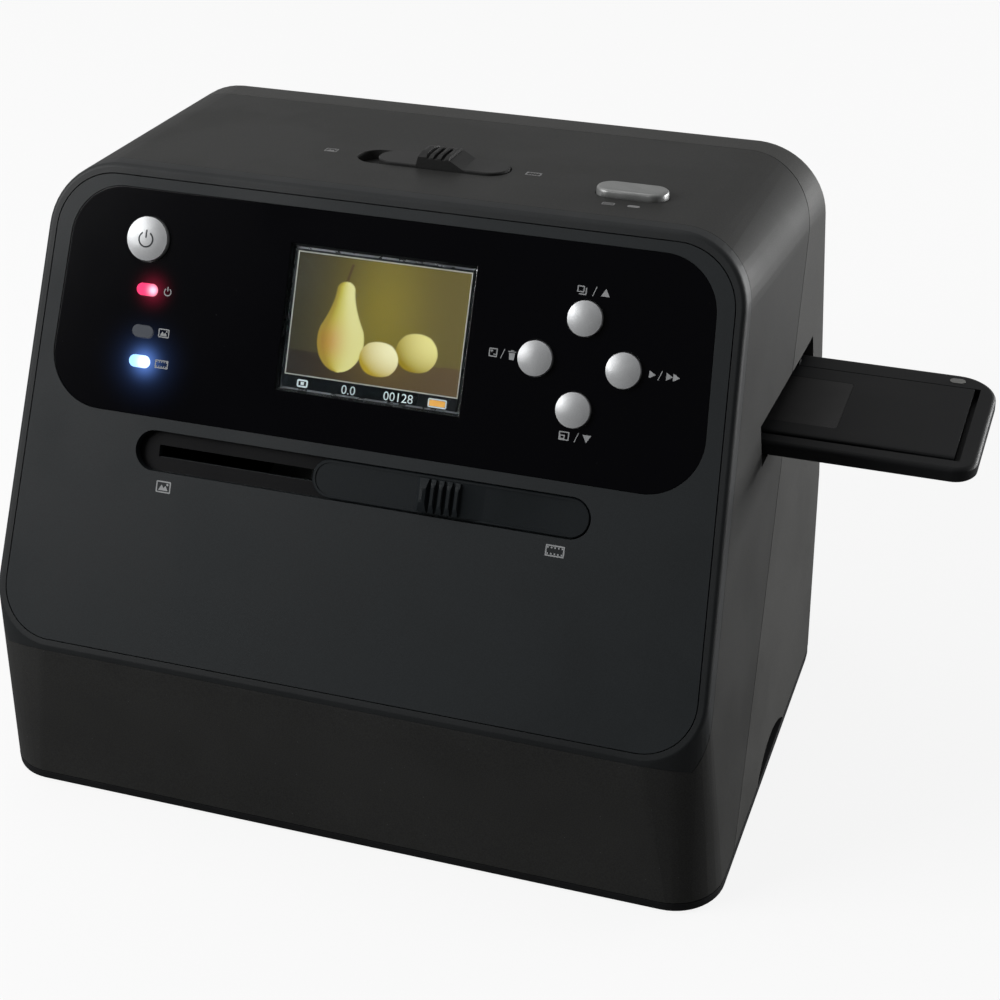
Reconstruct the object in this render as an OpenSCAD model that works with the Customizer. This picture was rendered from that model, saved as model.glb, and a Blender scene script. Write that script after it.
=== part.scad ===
/* [Housing] */
// Width of the base
base_w = 205.6; // [200:0.2:212]
// Depth of the base
base_d = 143.2; // [141.6:0.2:147]
// Height of the fold, above the underside, where the front starts to lean back
fold_h = 46.3; // [44:0.1:48]
// Lean of the front from upright, in degrees
lean = 28.1; // [27:0.1:29.2]
// Length of the leaning front, up its slope
front_len = 131.5; // [130.5:0.5:136]
// Width of the front at the fold
front_w = 198.6; // [196:0.2:204]
// Amount that each side of the front closes in, per unit of length
front_taper = 0.044; // [0.038:0.002:0.05]
// Width of the back at the top
rear_w = 192.3; // [188:0.1:196]
// Height of the top at the back, above the underside
rear_h = 152.1; // [150:0.1:154]
// Wall thickness of the housing
wall = 2.4; // [2:0.1:2.6]

/* [Front panel] */
// Height of the glossy panel, up the slope
panel_h = 58.6; // [57:0.2:60]
// Width of the screen window
screen_w = 50; // [46:0.5:52]
// Height of the screen window
screen_h = 37.5; // [35:0.5:39]
// Diameter of a menu button
menu_d = 8.8; // [8:0.1:9.6]
// Distance of each menu button from the centre of the cross
menu_step = 11.3; // [10.8:0.1:12]
// Diameter of the power button
power_d = 11.4; // [10:0.1:12]
// Length of the front slot
slot_l = 124.6; // [120:0.2:128]
// Height of the front slot
slot_h = 10.7; // [10:0.1:11.4]

/* [Top] */
// Length of the focus slot
focus_l = 42.4; // [41:0.1:46]
// Width of the focus slot
focus_w = 11.8; // [11:0.1:12.6]
// Length of the scan button
scan_l = 18.8; // [16:0.2:21]
// Width of the scan button
scan_w = 8.4; // [7.6:0.1:9]

/* [Film tray] */
// Height of the tray's underside above the base
tray_h = 97.9; // [97:0.1:99]
// Length of the tray
tray_l = 262; // [256:1:268]
// Depth of the tray, front to back
tray_d = 49.6; // [48.6:0.1:50.4]
// Thickness of the tray's base
tray_t = 4; // [3.8:0.1:4.4]
// Thickness of the tray's lid
lid_t = 2; // [1.8:0.1:2.2]
// Number of film windows
frames = 5; // [4:1:5]

/* [Hidden] */
$fn = 48;
foot_h = 1;
floor_t = 2.4;
gap = 0.3;
run = 0.05;
seam_w = 4.5;
edge_r = 4;
base_r = 14.4;
fold_r = 17;
top_r = 19;
rear_r = 20;
rim = 1.6;

// The fold line, and the front's two directions: up the slope and outwards
nose_y = -base_d / 2;
nose_z = foot_h + fold_h;
front_top_y = nose_y + front_len * sin(lean) + seam_w * cos(lean);
front_top_z = nose_z + front_len * cos(lean) - seam_w * sin(lean);
rear_z = foot_h + rear_h;
rear_y = base_d / 2;
top_slope = atan((front_top_z - rear_z) / (rear_y - edge_r - front_top_y));
shell_z = foot_h + floor_t + gap;

// The plane of the seam between the housing and the rear cover
seam_tilt = 35.4;
seam_y = nose_y + 22;

// Positions on the front, across and up the slope
plate_v = [3.2, front_len - 3.3];
panel_v = [front_len - 6.2 - panel_h, front_len - 6.2];
panel_r = 14.5;
panel_side = front_w / 2 - 6.4;
screen_pos = [0.4, (panel_v[0] + panel_v[1]) / 2 + 1.4];
menu_pos = [54.8, screen_pos[1] - 1.6];
power_pos = [-64.6, panel_v[1] - 12.8];
light_v = [panel_v[1] - 25.9, panel_v[1] - 36.8, panel_v[1] - 44.7];
light_u = -63.5;
slot_pos = [0.6, panel_v[0] - 8.7];
plate_t = 2.4;
panel_t = 1;
board_w = -8;
travel = 0.8;
board_v = [panel_v[0] + 5, panel_v[1] - 3.5];

// Positions on the top, across and back along the slope
focus_pos = [1.2, 25.2];
scan_pos = [57.2, 18];
focus_y = front_top_y + focus_pos[1] * cos(top_slope);
top_z = front_top_z - focus_pos[1] * sin(top_slope);
scan_travel = 1.2;

// The film gate and its tray
gate_y = nose_y + 92;
tray_z = foot_h + tray_h;
tray_x = 19;
tray_y = 1.5;
film_w = 35;
pitch = 38;
window = [36, 24];
strip_l = frames * pitch;
lid_x = [tray_x - tray_l / 2 + 6.5, tray_x + tray_l / 2 - 6];
lid_w = 35.2;
slot_z = tray_z - 0.45;
front_side = front_w / 2 - front_taper * (tray_h - fold_h) / cos(lean);
rear_side = base_w / 2 - (base_w - rear_w) / 2 * tray_h / rear_h;
gate_half = min(front_side, rear_side) - wall - 1.6;
gate_floor = 2;
rail_y = [gate_y + tray_y - tray_d / 2 - gap - 3, gate_y + tray_y + tray_d / 2 + gap];
rail_top = tray_z + tray_t + lid_t + 0.7;
post_x = gate_half - 5;
post_y = [nose_y + 42, nose_y + 124];

// The backlight, which the front slider carries along two rods
slide_l = 74.4;
slide_x = slot_pos[0] + slot_l / 2 - slide_l / 2 - gap;
rod_r = 2;
rod_y = 24;
rod_z = tray_z - gap - gate_floor - 6.6;
rod_x = 80;
carriage = [52, 40, 9.8];
carriage_top = tray_z - gap - gate_floor - 0.4;
arm_x = 25;

// The focus slider and the lens
focus_travel = 5.5;
focus_slide = focus_l - focus_travel - 2 * gap;
focus_x = focus_pos[0] + focus_travel / 2;
pin_z = top_z - 15.5;
lens_z = tray_z + 24.1;
guide_x = 16;
tower_top = pin_z - 5;
tower_z = rail_top + 2.4;

// The print window in the base
print_w = [152, 102];
print_y = -base_d / 2 + 81;
skirt = 12;
tunnel_top = carriage_top - carriage[2] - 2.7;

body_col = [0.15, 0.15, 0.15];
front_col = [0.14, 0.17, 0.19];
gloss_col = [0.03, 0.03, 0.035];
silver_col = [0.78, 0.78, 0.8];
dark_col = [0.08, 0.08, 0.085];
board_col = [0.08, 0.3, 0.2];
steel_col = [0.6, 0.6, 0.62];
light_col = [0.9, 0.92, 0.9];

// Carries its children to the front: x across, y up the slope, z outwards
module on_front() {
  translate([0, nose_y, nose_z]) rotate([90 - lean, 0, 0]) children();
}

// Carries its children to a point of the top: y back along the slope, z outwards
module on_top(pos) {
  translate([0, front_top_y, front_top_z]) rotate([-top_slope, 0, 0]) translate([pos[0], pos[1], 0])
    children();
}

// Carries its children to the middle of the film gate, at the tray's underside
module at_gate() {
  translate([0, gate_y, tray_z]) children();
}

// A bar with round ends along x, its length over all
module stadium(l, w) {
  square([l - w, w], center = true);
  for (s = [-1, 1]) translate([s * (l - w) / 2, 0]) circle(w / 2);
}

// A rectangle with rounded corners about its centre
module rounded(w, d, r) {
  square([w - 2 * r, d], center = true);
  square([w, d - 2 * r], center = true);
  for (x = [-1, 1], y = [-1, 1]) translate([x * (w / 2 - r), y * (d / 2 - r)]) circle(r);
}

// A box of the given size on z = 0, centred across x and y
module slab(w, d, h) {
  translate([-w / 2, -d / 2, 0]) cube([w, d, h]);
}

// A trapezoid with rounded corners: half-width h at v = 0 that closes by k, from v0 to v1
module trapezoid(h, k, v0, v1, r0, r1) {
  d = atan(k);
  s = sqrt(1 + k * k);
  x0 = h - k * (v0 + r0) - r0 * s;
  x1 = h - k * (v1 - r1) - r1 * s;
  a = [x0 + r0 * cos(d), v0 + r0 + r0 * sin(d)];
  b = [x1 + r1 * cos(d), v1 - r1 + r1 * sin(d)];
  polygon([[-x0, v0], [x0, v0], a, b, [x1, v1], [-x1, v1], [-b[0], b[1]], [-a[0], a[1]]]);
  for (m = [-1, 1]) {
    translate([m * x0, v0 + r0]) circle(r0);
    translate([m * x1, v1 - r1]) circle(r1);
  }
}

// The outline of the leaning front, drawn in by t
module front_outline(t) {
  trapezoid(front_w / 2 - t, front_taper, t, front_len - t, fold_r - t, top_r - t);
}

// The outline of the front plate inside its rim
module plate_outline(t) {
  trapezoid(front_w / 2 - 3 - t, front_taper, plate_v[0] + t, plate_v[1] - t, fold_r - 3 - t,
            top_r - 3 - t);
}

// The outline of the glossy panel
module panel_outline(t) {
  trapezoid(panel_side - t, front_taper + 0.009, panel_v[0] + t, panel_v[1] - t, panel_r - t,
            panel_r - t);
}

// The form of the whole housing, drawn in by t and run past the front seam by e
module body_form(t, e = 0) {
  $fn = 32;
  hull() {
    translate([0, 0, foot_h]) linear_extrude(0.2) rounded(base_w - 2 * t, base_d - 2 * t, base_r - t);
    translate([0, nose_y + 30, nose_z - 1.1 - t]) linear_extrude(0.2)
      rounded(front_w - 0.6 - 2 * t, 59.3 - 2 * t, fold_r - t);
    on_front() translate([0, 0, -seam_w - 0.2]) linear_extrude(0.2 + e) front_outline(t);
    for (m = [-1, 1])
      translate([m * (rear_w / 2 - rear_r), rear_y - edge_r, rear_z - rear_r]) rotate([90, 0, 0])
        rotate_extrude() translate([rear_r - edge_r, 0]) circle(max(edge_r - t, 0.05), $fn = 16);
  }
}

// Everything behind the seam plane, moved back by d
module behind_seam(d) {
  translate([0, seam_y + d, foot_h]) rotate([-seam_tilt, 0, 0]) translate([-150, 0, -150])
    cube([300, 300, 400]);
}

// The slot through both sides for the film tray
module tray_slots() {
  rotate([90, 0, 90]) translate([0, 0, -150]) linear_extrude(300)
    polygon([[nose_y + 63.5, slot_z], [nose_y + 123.4, slot_z], [nose_y + 123.2, slot_z + 6.8],
             [nose_y + 63.5, slot_z + 11.9]]);
}

// The finger notch of one side, grown by g
module notch(g) {
  translate([0, nose_y + 67, foot_h + 8.4 - 24.6]) rotate([0, 90, 0])
    cylinder(r = 24.6 + g, h = 40, $fn = 96);
}

// The two notches, open to the outside, grown by g
module notches(g) {
  for (m = [0, 1]) mirror([m, 0, 0]) translate([84 - g, 0, 0]) notch(g);
}

// A screw boss that stands on the base plate in one corner
module corner_boss(x, y) {
  translate([x, y, shell_z]) difference() {
    cylinder(r = 4.6, h = 14);
    translate([0, 0, -1]) cylinder(r = 1.5, h = 13);
  }
}

module screw_places() {
  for (x = [-1, 1], y = [-1, 1])
    translate([x * (base_w / 2 - 8.4), y * (base_d / 2 - 8.4), 0]) children();
}

module main_housing() {
  color(body_col) difference() {
    union() {
      difference() {
        body_form(0);
        body_form(wall, 1);
      }
      intersection() {
        body_form(1);
        union() {
          for (x = [-1, 1]) corner_boss(x * (base_w / 2 - 8.4), -base_d / 2 + 8.4);
          on_top(focus_pos) translate([0, 0, -wall - 1.6]) slab(focus_l + 6, focus_w + 6, 3);
        }
      }
    }
    behind_seam(0);
    translate([-150, -150, -10]) cube([300, 300, shell_z + 10]);
    on_front() translate([-150, -gap, -seam_w]) cube([300, 200, 60]);
    tray_slots();
    on_top(focus_pos) {
      translate([0, 0, -2.6]) linear_extrude(5) stadium(focus_l, focus_w);
      translate([0, 0, -10]) linear_extrude(12) square([22, 4.6], center = true);
    }
    on_top(scan_pos) translate([0, 0, -5]) linear_extrude(10)
      stadium(scan_l + 2 * gap, scan_w + 2 * gap);
  }
}

module rear_cover() {
  color(body_col) difference() {
    union() {
      difference() {
        union() {
          intersection() {
            body_form(0);
            behind_seam(gap);
          }
          intersection() {
            body_form(wall + 0.15);
            behind_seam(-4);
          }
        }
        body_form(wall + 1.5);
        intersection() {
          body_form(wall);
          behind_seam(4);
        }
      }
      intersection() {
        body_form(1);
        union() {
          for (x = [-1, 1]) corner_boss(x * (base_w / 2 - 8.4), base_d / 2 - 8.4);
          notches(1.6);
        }
      }
      for (x = [-70, 70], z = [foot_h + 36, foot_h + 112])
        translate([x, rear_y - wall / 2, z]) rotate([90, 0, 0]) cylinder(r = 3.5, h = 7.4 - wall / 2);
    }
    notches(0);
    translate([-150, -150, -10]) cube([300, 300, shell_z + 10]);
    tray_slots();
    socket_cuts();
  }
}

// The cuts in the back for the three sockets
module socket_cuts() {
  for (s = sockets) translate([s[0], rear_y - 6, foot_h + s[1]]) rotate([90, 0, 0])
    translate([0, 0, -20]) linear_extrude(20) square([s[2] + 2 * gap, s[3] + 2 * gap], center = true);
}

// Place across, height, width and height of each socket
sockets = [[-34, 44, 26, 3.4], [26, 44, 8.4, 4.4], [48, 44, 8, 8]];

module base_plate() {
  color(dark_col) difference() {
    union() {
      translate([0, 0, foot_h]) linear_extrude(floor_t) rounded(base_w, base_d, base_r);
      translate([0, print_y, foot_h]) slab(print_w[0] + 9, print_w[1] + 9, floor_t + 1.2);
    }
    translate([0, print_y, -1]) slab(print_w[0], print_w[1], 20);
    translate([0, print_y, foot_h + floor_t]) slab(print_w[0] + 3.6, print_w[1] + 3.6, 3);
    notches(0);
    screw_places() {
      translate([0, 0, -1]) cylinder(r = 1.8, h = 8);
      translate([0, 0, -1]) cylinder(r = 3.4, h = 1 + foot_h + 1.4);
    }
  }
}

module base_screws() {
  color(steel_col) screw_places() {
    translate([0, 0, foot_h + 0.1]) cylinder(r = 3, h = 1.3);
    translate([0, 0, foot_h + 1]) cylinder(r = 1.5 - run, h = 9);
  }
}

module feet() {
  color(dark_col) for (x = [-1, 1], y = [-1, 1])
    translate([x * (base_w / 2 - 14), y * (base_d / 2 - 21), 0]) cylinder(r = 6, h = foot_h);
}

module front_bezel() {
  color(front_col) on_front() difference() {
    union() {
      hull() {
        $fn = 32;
        translate([0, 0, -seam_w]) linear_extrude(seam_w - 1.8) front_outline(0);
        translate([0, 0, -1]) linear_extrude(0.3) front_outline(0.35);
        translate([0, 0, -0.1]) linear_extrude(0.1) front_outline(rim);
      }
      translate([0, 0, -seam_w - 3.5]) linear_extrude(4) hull() front_outline(wall + 0.15, $fn = 64);
    }
    translate([0, 0, -plate_t - run]) linear_extrude(10) hull() plate_outline(-0.25, $fn = 64);
    translate([0, 0, -20]) linear_extrude(30) hull() front_outline(wall + 3, $fn = 64);
  }
}

// The holes for the buttons, grown by g
module key_holes(g) {
  for (p = [[0, 1], [0, -1], [-1, 0], [1, 0]]) translate(menu_pos + menu_step * p) circle(menu_d / 2 + g);
  translate(power_pos) circle(power_d / 2 + g);
}

module light_holes(g) {
  for (v = light_v) translate([light_u, v]) stadium(6 + 2 * g, 3.2 + 2 * g);
}

module front_plate() {
  color(front_col) on_front() difference() {
    union() {
      translate([0, 0, -plate_t]) linear_extrude(plate_t) plate_outline(0);
      translate([slot_pos[0], slot_pos[1], -plate_t - 1.8]) slab(slot_l + 6, slot_h + 5, 2);
      for (x = [-73, 70], y = [board_v[0] + 4, board_v[1] - 2.8])
        translate([x, y, board_w]) cylinder(r = 3, h = -board_w - plate_t + 0.5);
    }
    translate([0, 0, -panel_t - 0.2]) linear_extrude(5) panel_outline(-0.1);
    translate([0, 0, -10]) linear_extrude(20) {
      key_holes(gap);
      light_holes(run);
      translate(screen_pos) square([screen_w - 1, screen_h - 1], center = true);
    }
    translate([slot_pos[0], slot_pos[1], -plate_t - 0.2]) linear_extrude(5) stadium(slot_l, slot_h);
    translate([slot_pos[0], slot_pos[1], -10]) linear_extrude(10) square([113, 3], center = true);
  }
}

module display_panel() {
  color(gloss_col) on_front() translate([0, 0, -panel_t - 0.2]) linear_extrude(panel_t) difference() {
    panel_outline(0);
    key_holes(gap);
    light_holes(run);
    translate(screen_pos) square([screen_w + 0.2, screen_h + 0.2], center = true);
  }
}

module lcd_window() {
  color([0.2, 0.22, 0.25]) on_front() translate([screen_pos[0], screen_pos[1], -panel_t - 0.2])
    slab(screen_w, screen_h, panel_t);
}

module lcd_screen() {
  color([0.45, 0.4, 0.2]) on_front() translate([screen_pos[0], screen_pos[1], -plate_t])
    slab(screen_w - 2, screen_h - 2, plate_t - panel_t - 0.3);
}

module lcd_module() {
  color(steel_col) on_front() translate([screen_pos[0], screen_pos[1], board_w])
    slab(screen_w + 8, screen_h + 6, -board_w - plate_t);
}

module keypad_board() {
  color(board_col) on_front() translate([0, 0, board_w - 1.6]) linear_extrude(1.6)
    translate([-76, board_v[0]]) square([151, board_v[1] - board_v[0]]);
}

// A key's switch with its round plunger, standing on the board
module key_switch() {
  slab(6, 6, 2);
  translate([0, 0, 1.9]) cylinder(r = 1.6, h = 1.2);
}

module key_switches() {
  color(dark_col) on_front() {
    for (p = [[0, 1], [0, -1], [-1, 0], [1, 0]]) {
      q = menu_pos + menu_step * p;
      translate([q[0], q[1], board_w]) key_switch();
    }
    translate([power_pos[0], power_pos[1], board_w]) key_switch();
  }
}

// A light pipe that runs from the board to the face of the panel
module light_pipe(v, c) {
  color(c) on_front() translate([light_u, v, board_w]) linear_extrude(-board_w - 0.15) stadium(6, 3.2);
}

module power_light() { light_pipe(light_v[0], [0.95, 0.25, 0.35]); }

module photo_light() { light_pipe(light_v[1], [0.45, 0.46, 0.5]); }

module film_light() { light_pipe(light_v[2], [0.75, 0.85, 1]); }

// A round button: domed cap, flange behind the plate and a stem for the switch
module round_button(d, rise) {
  r = (d * d / 4 + rise * rise) / (2 * rise);
  translate([0, 0, -plate_t - gap - 1]) cylinder(r = d / 2, h = plate_t + gap + 1.9);
  intersection() {
    translate([0, 0, 0.9 + rise - r]) sphere(r, $fn = 96);
    translate([0, 0, 0.8]) cylinder(r = d / 2, h = rise + 1);
  }
  translate([0, 0, -plate_t - gap - 1]) cylinder(r = d / 2 + 1.2, h = 1);
  translate([0, 0, -plate_t - gap - 1.1]) cylinder(r = 1.5, h = 1);
}

module menu_button(p) {
  q = menu_pos + menu_step * p;
  color(silver_col) on_front() translate([q[0], q[1], 0]) round_button(menu_d, 0.8);
}

module power_button() {
  color(silver_col) on_front() translate([power_pos[0], power_pos[1], 0]) round_button(power_d, 0.7);
}

module up_button() { menu_button([0, 1]); }

module down_button() { menu_button([0, -1]); }

module left_button() { menu_button([-1, 0]); }

module right_button() { menu_button([1, 0]); }

// The ribbed grip of a slider: a wedge at each end and ribs between, l long
module grip(l, w, h, ribs) {
  step = l * 0.5 / ribs;
  rotate([90, 0, 0]) translate([0, 0, -w / 2]) linear_extrude(w)
    polygon([[-l / 2, 0], [-l / 2 + l * 0.2, h], [-l * 0.25, h], [-l * 0.25, h * 0.45],
             [l * 0.25, h * 0.45], [l * 0.25, h * 0.55], [l / 2, 0]]);
  for (i = [0:ribs - 1]) translate([-l * 0.25 + step * (i + 0.6), -w / 2, 0]) cube([step * 0.5, w, h]);
}

module front_slider() {
  color(body_col) on_front() {
    translate([slide_x, slot_pos[1], -plate_t + 0.15]) linear_extrude(1.3)
      stadium(slide_l, slot_h - 2 * gap);
    translate([slide_x + 0.6, slot_pos[1], -1]) grip(18.4, 8.2, 3.4, 4);
    translate([arm_x - 5, slot_pos[1] - 1.1, -12]) cube([10, 2.2, 10.4]);
  }
}

module backlight_carriage() {
  color(dark_col) difference() {
    union() {
      translate([0, gate_y, carriage_top - carriage[2]]) slab(carriage[0], carriage[1], carriage[2]);
      for (m = [-1, 1]) translate([-carriage[0] / 2, gate_y + m * rod_y, rod_z]) rotate([0, 90, 0])
        cylinder(r = rod_r + 2.2, h = carriage[0]);
      for (m = [-1, 1]) translate([0, gate_y + m * (rod_y - 3), rod_z - 2]) slab(carriage[0], 4, 4);
      translate([arm_x - 5, nose_y + 38, carriage_top - 9.4]) cube([10, gate_y - nose_y - 56, 4.6]);
      on_front() translate([arm_x - 7, slot_pos[1] - 4, -15.5]) cube([14, 8, 6.5]);
    }
    for (m = [-1, 1]) translate([-50, gate_y + m * rod_y, rod_z]) rotate([0, 90, 0])
      cylinder(r = rod_r + run, h = 100);
    translate([0, gate_y, carriage_top - carriage[2] + 1.6]) slab(42, 32, 20);
    translate([0, gate_y, carriage_top - 1.6]) slab(46.2, 36.2, 20);
    on_front() translate([arm_x - 5 - run, slot_pos[1] - 1.1 - run, -12 - run])
      cube([10 + 2 * run, 2.2 + 2 * run, 10.4]);
  }
}

module backlight_diffuser() {
  color(light_col) translate([0, gate_y, carriage_top - 1.6]) slab(46, 36, 1.5);
}

module backlight_board() {
  color(board_col) translate([0, gate_y, carriage_top - carriage[2] + 1.6]) {
    slab(41.6, 31.6, 1.6);
    for (x = [-15, -5, 5, 15], y = [-10, 0, 10]) translate([x, y, 1.5]) slab(3, 3, 1);
  }
}

module carriage_rails() {
  color(steel_col) for (m = [-1, 1]) translate([-rod_x - 2, gate_y + m * rod_y, rod_z])
    rotate([0, 90, 0]) cylinder(r = rod_r, h = 2 * rod_x + 4);
}

module gate_lower() {
  color(dark_col) difference() {
    union() {
      translate([-gate_half, rail_y[0], tray_z - gap - gate_floor])
        cube([2 * gate_half, rail_y[1] + 3 - rail_y[0], gate_floor]);
      for (y = rail_y) translate([-gate_half, y, tray_z - gap - 0.5])
        cube([2 * gate_half, 3, rail_top - tray_z + gap + 0.5]);
      for (x = [-1, 1]) translate([x * post_x - 4.6, post_y[0] - 4.6, tray_z - gap - gate_floor])
        cube([9.2, post_y[1] - post_y[0] + 9.2, gate_floor]);
      for (x = [-1, 1], y = [-1, 1])
        translate([x * rod_x - 2, gate_y + y * rod_y - 4, rod_z - 4])
          cube([4, 8, tray_z - gap - gate_floor - rod_z + 4.5]);
    }
    translate([0, gate_y, tray_z - 10]) slab(40, 28, 20);
    for (x = [-1, 1], y = post_y) translate([x * post_x, y, tray_z - 10]) cylinder(r = 1.5, h = 20);
    for (y = [-1, 1]) translate([-100, gate_y + y * rod_y, rod_z]) rotate([0, 90, 0])
      cylinder(r = rod_r + run, h = 200);
    translate([tray_x - 38 - 7, rail_y[1] - 1, tray_z - 0.1]) cube([14, 6, rail_top - tray_z + 1]);
  }
}

module gate_upper() {
  color(dark_col) difference() {
    translate([-gate_half, rail_y[0], rail_top]) cube([2 * gate_half, rail_y[1] + 3 - rail_y[0], 2.4]);
    translate([0, gate_y, rail_top - 1]) slab(40, 28, 10);
  }
}

module gate_posts() {
  z = foot_h + floor_t;
  color(dark_col) for (x = [-1, 1], y = post_y) translate([x * post_x, y, z]) {
    cylinder(r = 4, h = tray_z - gap - gate_floor - z);
    cylinder(r = 1.5 - run, h = tray_z - gap - z + 0.6);
    translate([0, 0, tray_z - gap - z]) cylinder(r = 2.6, h = 1.2);
  }
}

module tray_detent() {
  color(steel_col) translate([tray_x - 38, rail_y[1] + 3, tray_z]) {
    translate([-10, 0, 0]) cube([20, 0.6, tray_t]);
    translate([-2, -3, 0.6]) cube([4, 3.2, tray_t - 1.2]);
  }
}

module film_tray_base() {
  color(dark_col) at_gate() difference() {
    translate([tray_x, tray_y, 0]) linear_extrude(tray_t) rounded(tray_l, tray_d, 10);
    translate([tray_x, 0, tray_t - 1.2]) slab(strip_l + 2, film_w + 0.3, 5);
    for (i = [0:frames - 1]) {
      x = tray_x + (i - (frames - 1) / 2) * pitch;
      translate([x, 0, -1]) slab(window[0], window[1], 20);
      translate([x, tray_y + tray_d / 2, -1]) cylinder(r = 1.6, h = 20);
    }
    for (x = knuckles) translate([tray_x + x, lid_w / 2 + 2.1, 0.5]) slab(12, 4, 10);
    translate([lid_x[0] - 1, lid_w / 2 + 2.2, 2.1]) rotate([0, 90, 0])
      cylinder(r = 0.8 + run, h = lid_x[1] - lid_x[0] - 4);
  }
}

// Places of the lid's knuckles along the tray
knuckles = [-100, -34, 34, 100];

module film_tray_lid() {
  color(dark_col) at_gate() difference() {
    union() {
      translate([lid_x[0], 0, tray_t + run]) rotate([90, 0, 90]) linear_extrude(lid_x[1] - lid_x[0])
        polygon([[-lid_w / 2, 0], [lid_w / 2, 0], [lid_w / 2, lid_t], [-lid_w / 2 + 1.6, lid_t],
                 [-lid_w / 2, lid_t * 0.4]]);
      for (x = knuckles) {
        translate([tray_x + x, lid_w / 2 + 2.1, 0.8]) slab(11.4, 4 - 2 * gap, tray_t + lid_t - 0.8);
        translate([tray_x + x, lid_w / 2 + 1, tray_t + run]) slab(11.4, 3, lid_t - run);
      }
    }
    for (i = [0:frames - 1])
      translate([tray_x + (i - (frames - 1) / 2) * pitch, 0, tray_t - 1]) slab(window[0], window[1], 20);
    translate([lid_x[0] - 1, lid_w / 2 + 2.2, 2.1]) rotate([0, 90, 0])
      cylinder(r = 0.8 + run, h = lid_x[1] - lid_x[0] + 2);
  }
}

module tray_hinge_pin() {
  color(steel_col) at_gate() translate([lid_x[0] + 0.5, lid_w / 2 + 2.2, 2.1]) rotate([0, 90, 0])
    cylinder(r = 0.8, h = lid_x[1] - lid_x[0] - 6);
}

module tray_mark() {
  color(steel_col) at_gate() translate([lid_x[1] - 5.4, lid_w / 2 + 3.4, tray_t]) linear_extrude(0.2)
    circle(1.9);
}

module film_strip() {
  color([0.2, 0.12, 0.08]) at_gate() translate([tray_x, 0, tray_t - 1.2]) slab(strip_l, film_w, 0.2);
}

module top_slider() {
  color(body_col) difference() {
    union() {
      on_top([focus_x, focus_pos[1]]) {
        translate([0, 0, -2.25]) linear_extrude(1.25) stadium(focus_slide, focus_w - 2 * gap);
        translate([0.5, 0, -1.2]) grip(12.5, 8.6, 4.4, 3);
      }
      translate([focus_x - 7, focus_y - 1.3, pin_z - 4.2]) cube([14, 2.6, top_z - pin_z + 2.6]);
      translate([focus_x - 11, focus_y - 1.3, pin_z - 4.2]) cube([26, 2.6, 11]);
    }
    cam_slot();
  }
}

// The sloping slot that lifts the lens as the slider moves to the left
module cam_slot() {
  a = atan(0.5);
  l = sqrt(focus_travel * focus_travel * 1.25);
  translate([0, focus_y + 10, pin_z]) rotate([90, 0, 0]) linear_extrude(20) rotate(a) {
    translate([0, -1.8]) square([l, 3.6]);
    circle(1.8);
    translate([l, 0]) circle(1.8);
  }
}

module scan_button() {
  color(silver_col) on_top(scan_pos) {
    translate([0, 0, -wall - gap - 1]) linear_extrude(wall + gap + 2.3) stadium(scan_l, scan_w);
    translate([0, 0, 1.2]) linear_extrude(0.8) stadium(scan_l - 1.4, scan_w - 1.4);
    translate([0, 0, -wall - gap - 1]) linear_extrude(1) stadium(scan_l + 2.4, scan_w + 2.4);
  }
}

module scan_switch() {
  color(dark_col) on_top(scan_pos) translate([0, 0, -10]) {
    slab(6, 6, 3.4);
    translate([0, 0, 3.3]) cylinder(r = 1.6, h = 4.6 - wall - scan_travel + 0.1);
  }
}

module scan_bracket() {
  color(steel_col) on_top(scan_pos) translate([0, 0, -11.2]) {
    slab(scan_l + 11, 8, 1.2);
    for (m = [-1, 1]) translate([m * (scan_l / 2 + 4.5), 0, 0]) slab(2, 8, 11.2 - wall - 0.02);
  }
}

module lens_tower() {
  color(dark_col) difference() {
    translate([0, gate_y, tower_z]) union() {
      slab(48, 36, 2.4);
      for (m = [-1, 1]) {
        translate([m * 22.2, 0, 0]) slab(3, 26, tower_top - tower_z);
        translate([m * 18.2, 0, tower_top - tower_z - 3]) slab(11, 9, 3);
      }
    }
    translate([0, gate_y, tower_z - 1]) slab(22, 22, 5);
    for (m = [-1, 1]) translate([m * guide_x, gate_y, tower_z - 1]) cylinder(r = 1.5 + run, h = 80);
  }
}

module lens_guides() {
  color(steel_col) for (m = [-1, 1]) translate([m * guide_x, gate_y, tower_z])
    cylinder(r = 1.5, h = tower_top - tower_z);
}

module lens_carriage() {
  color(dark_col) difference() {
    union() {
      translate([-20, gate_y - 10, lens_z]) cube([40, 22, 6]);
      translate([-4, gate_y + 9.5, lens_z]) cube([8, 2.5, pin_z - lens_z + 3]);
      translate([0, gate_y + 12, pin_z]) rotate([90, 0, 0]) cylinder(r = 1.5, h = 14.8);
    }
    for (m = [-1, 1]) translate([m * guide_x, gate_y, lens_z - 1]) cylinder(r = 1.5 + run, h = 8);
    translate([0, gate_y, lens_z - 1]) cylinder(r = 7 + run, h = 8);
  }
}

module lens_barrel() {
  color([0.1, 0.1, 0.11]) translate([0, gate_y, lens_z - 9.5]) difference() {
    union() {
      cylinder(r = 7, h = 15.5);
      cylinder(r = 8, h = 8);
    }
    translate([0, 0, -1]) cylinder(r = 5, h = 2.6);
    translate([0, 0, 1]) cylinder(r = 3.5, h = 20);
  }
}

module lens_glass() {
  color([0.5, 0.55, 0.7]) translate([0, gate_y, lens_z - 9.5]) {
    cylinder(r = 5 - run, h = 1.6);
    intersection() {
      translate([0, 0, 12]) sphere(12.6);
      translate([0, 0, -1]) cylinder(r = 3.6, h = 1.5);
    }
  }
}

module sensor_board() {
  color(board_col) translate([0, gate_y - 0.6, lens_z + 6]) {
    slab(22, 18, 1.6);
    slab(10, 8, 2.4);
  }
}

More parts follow.
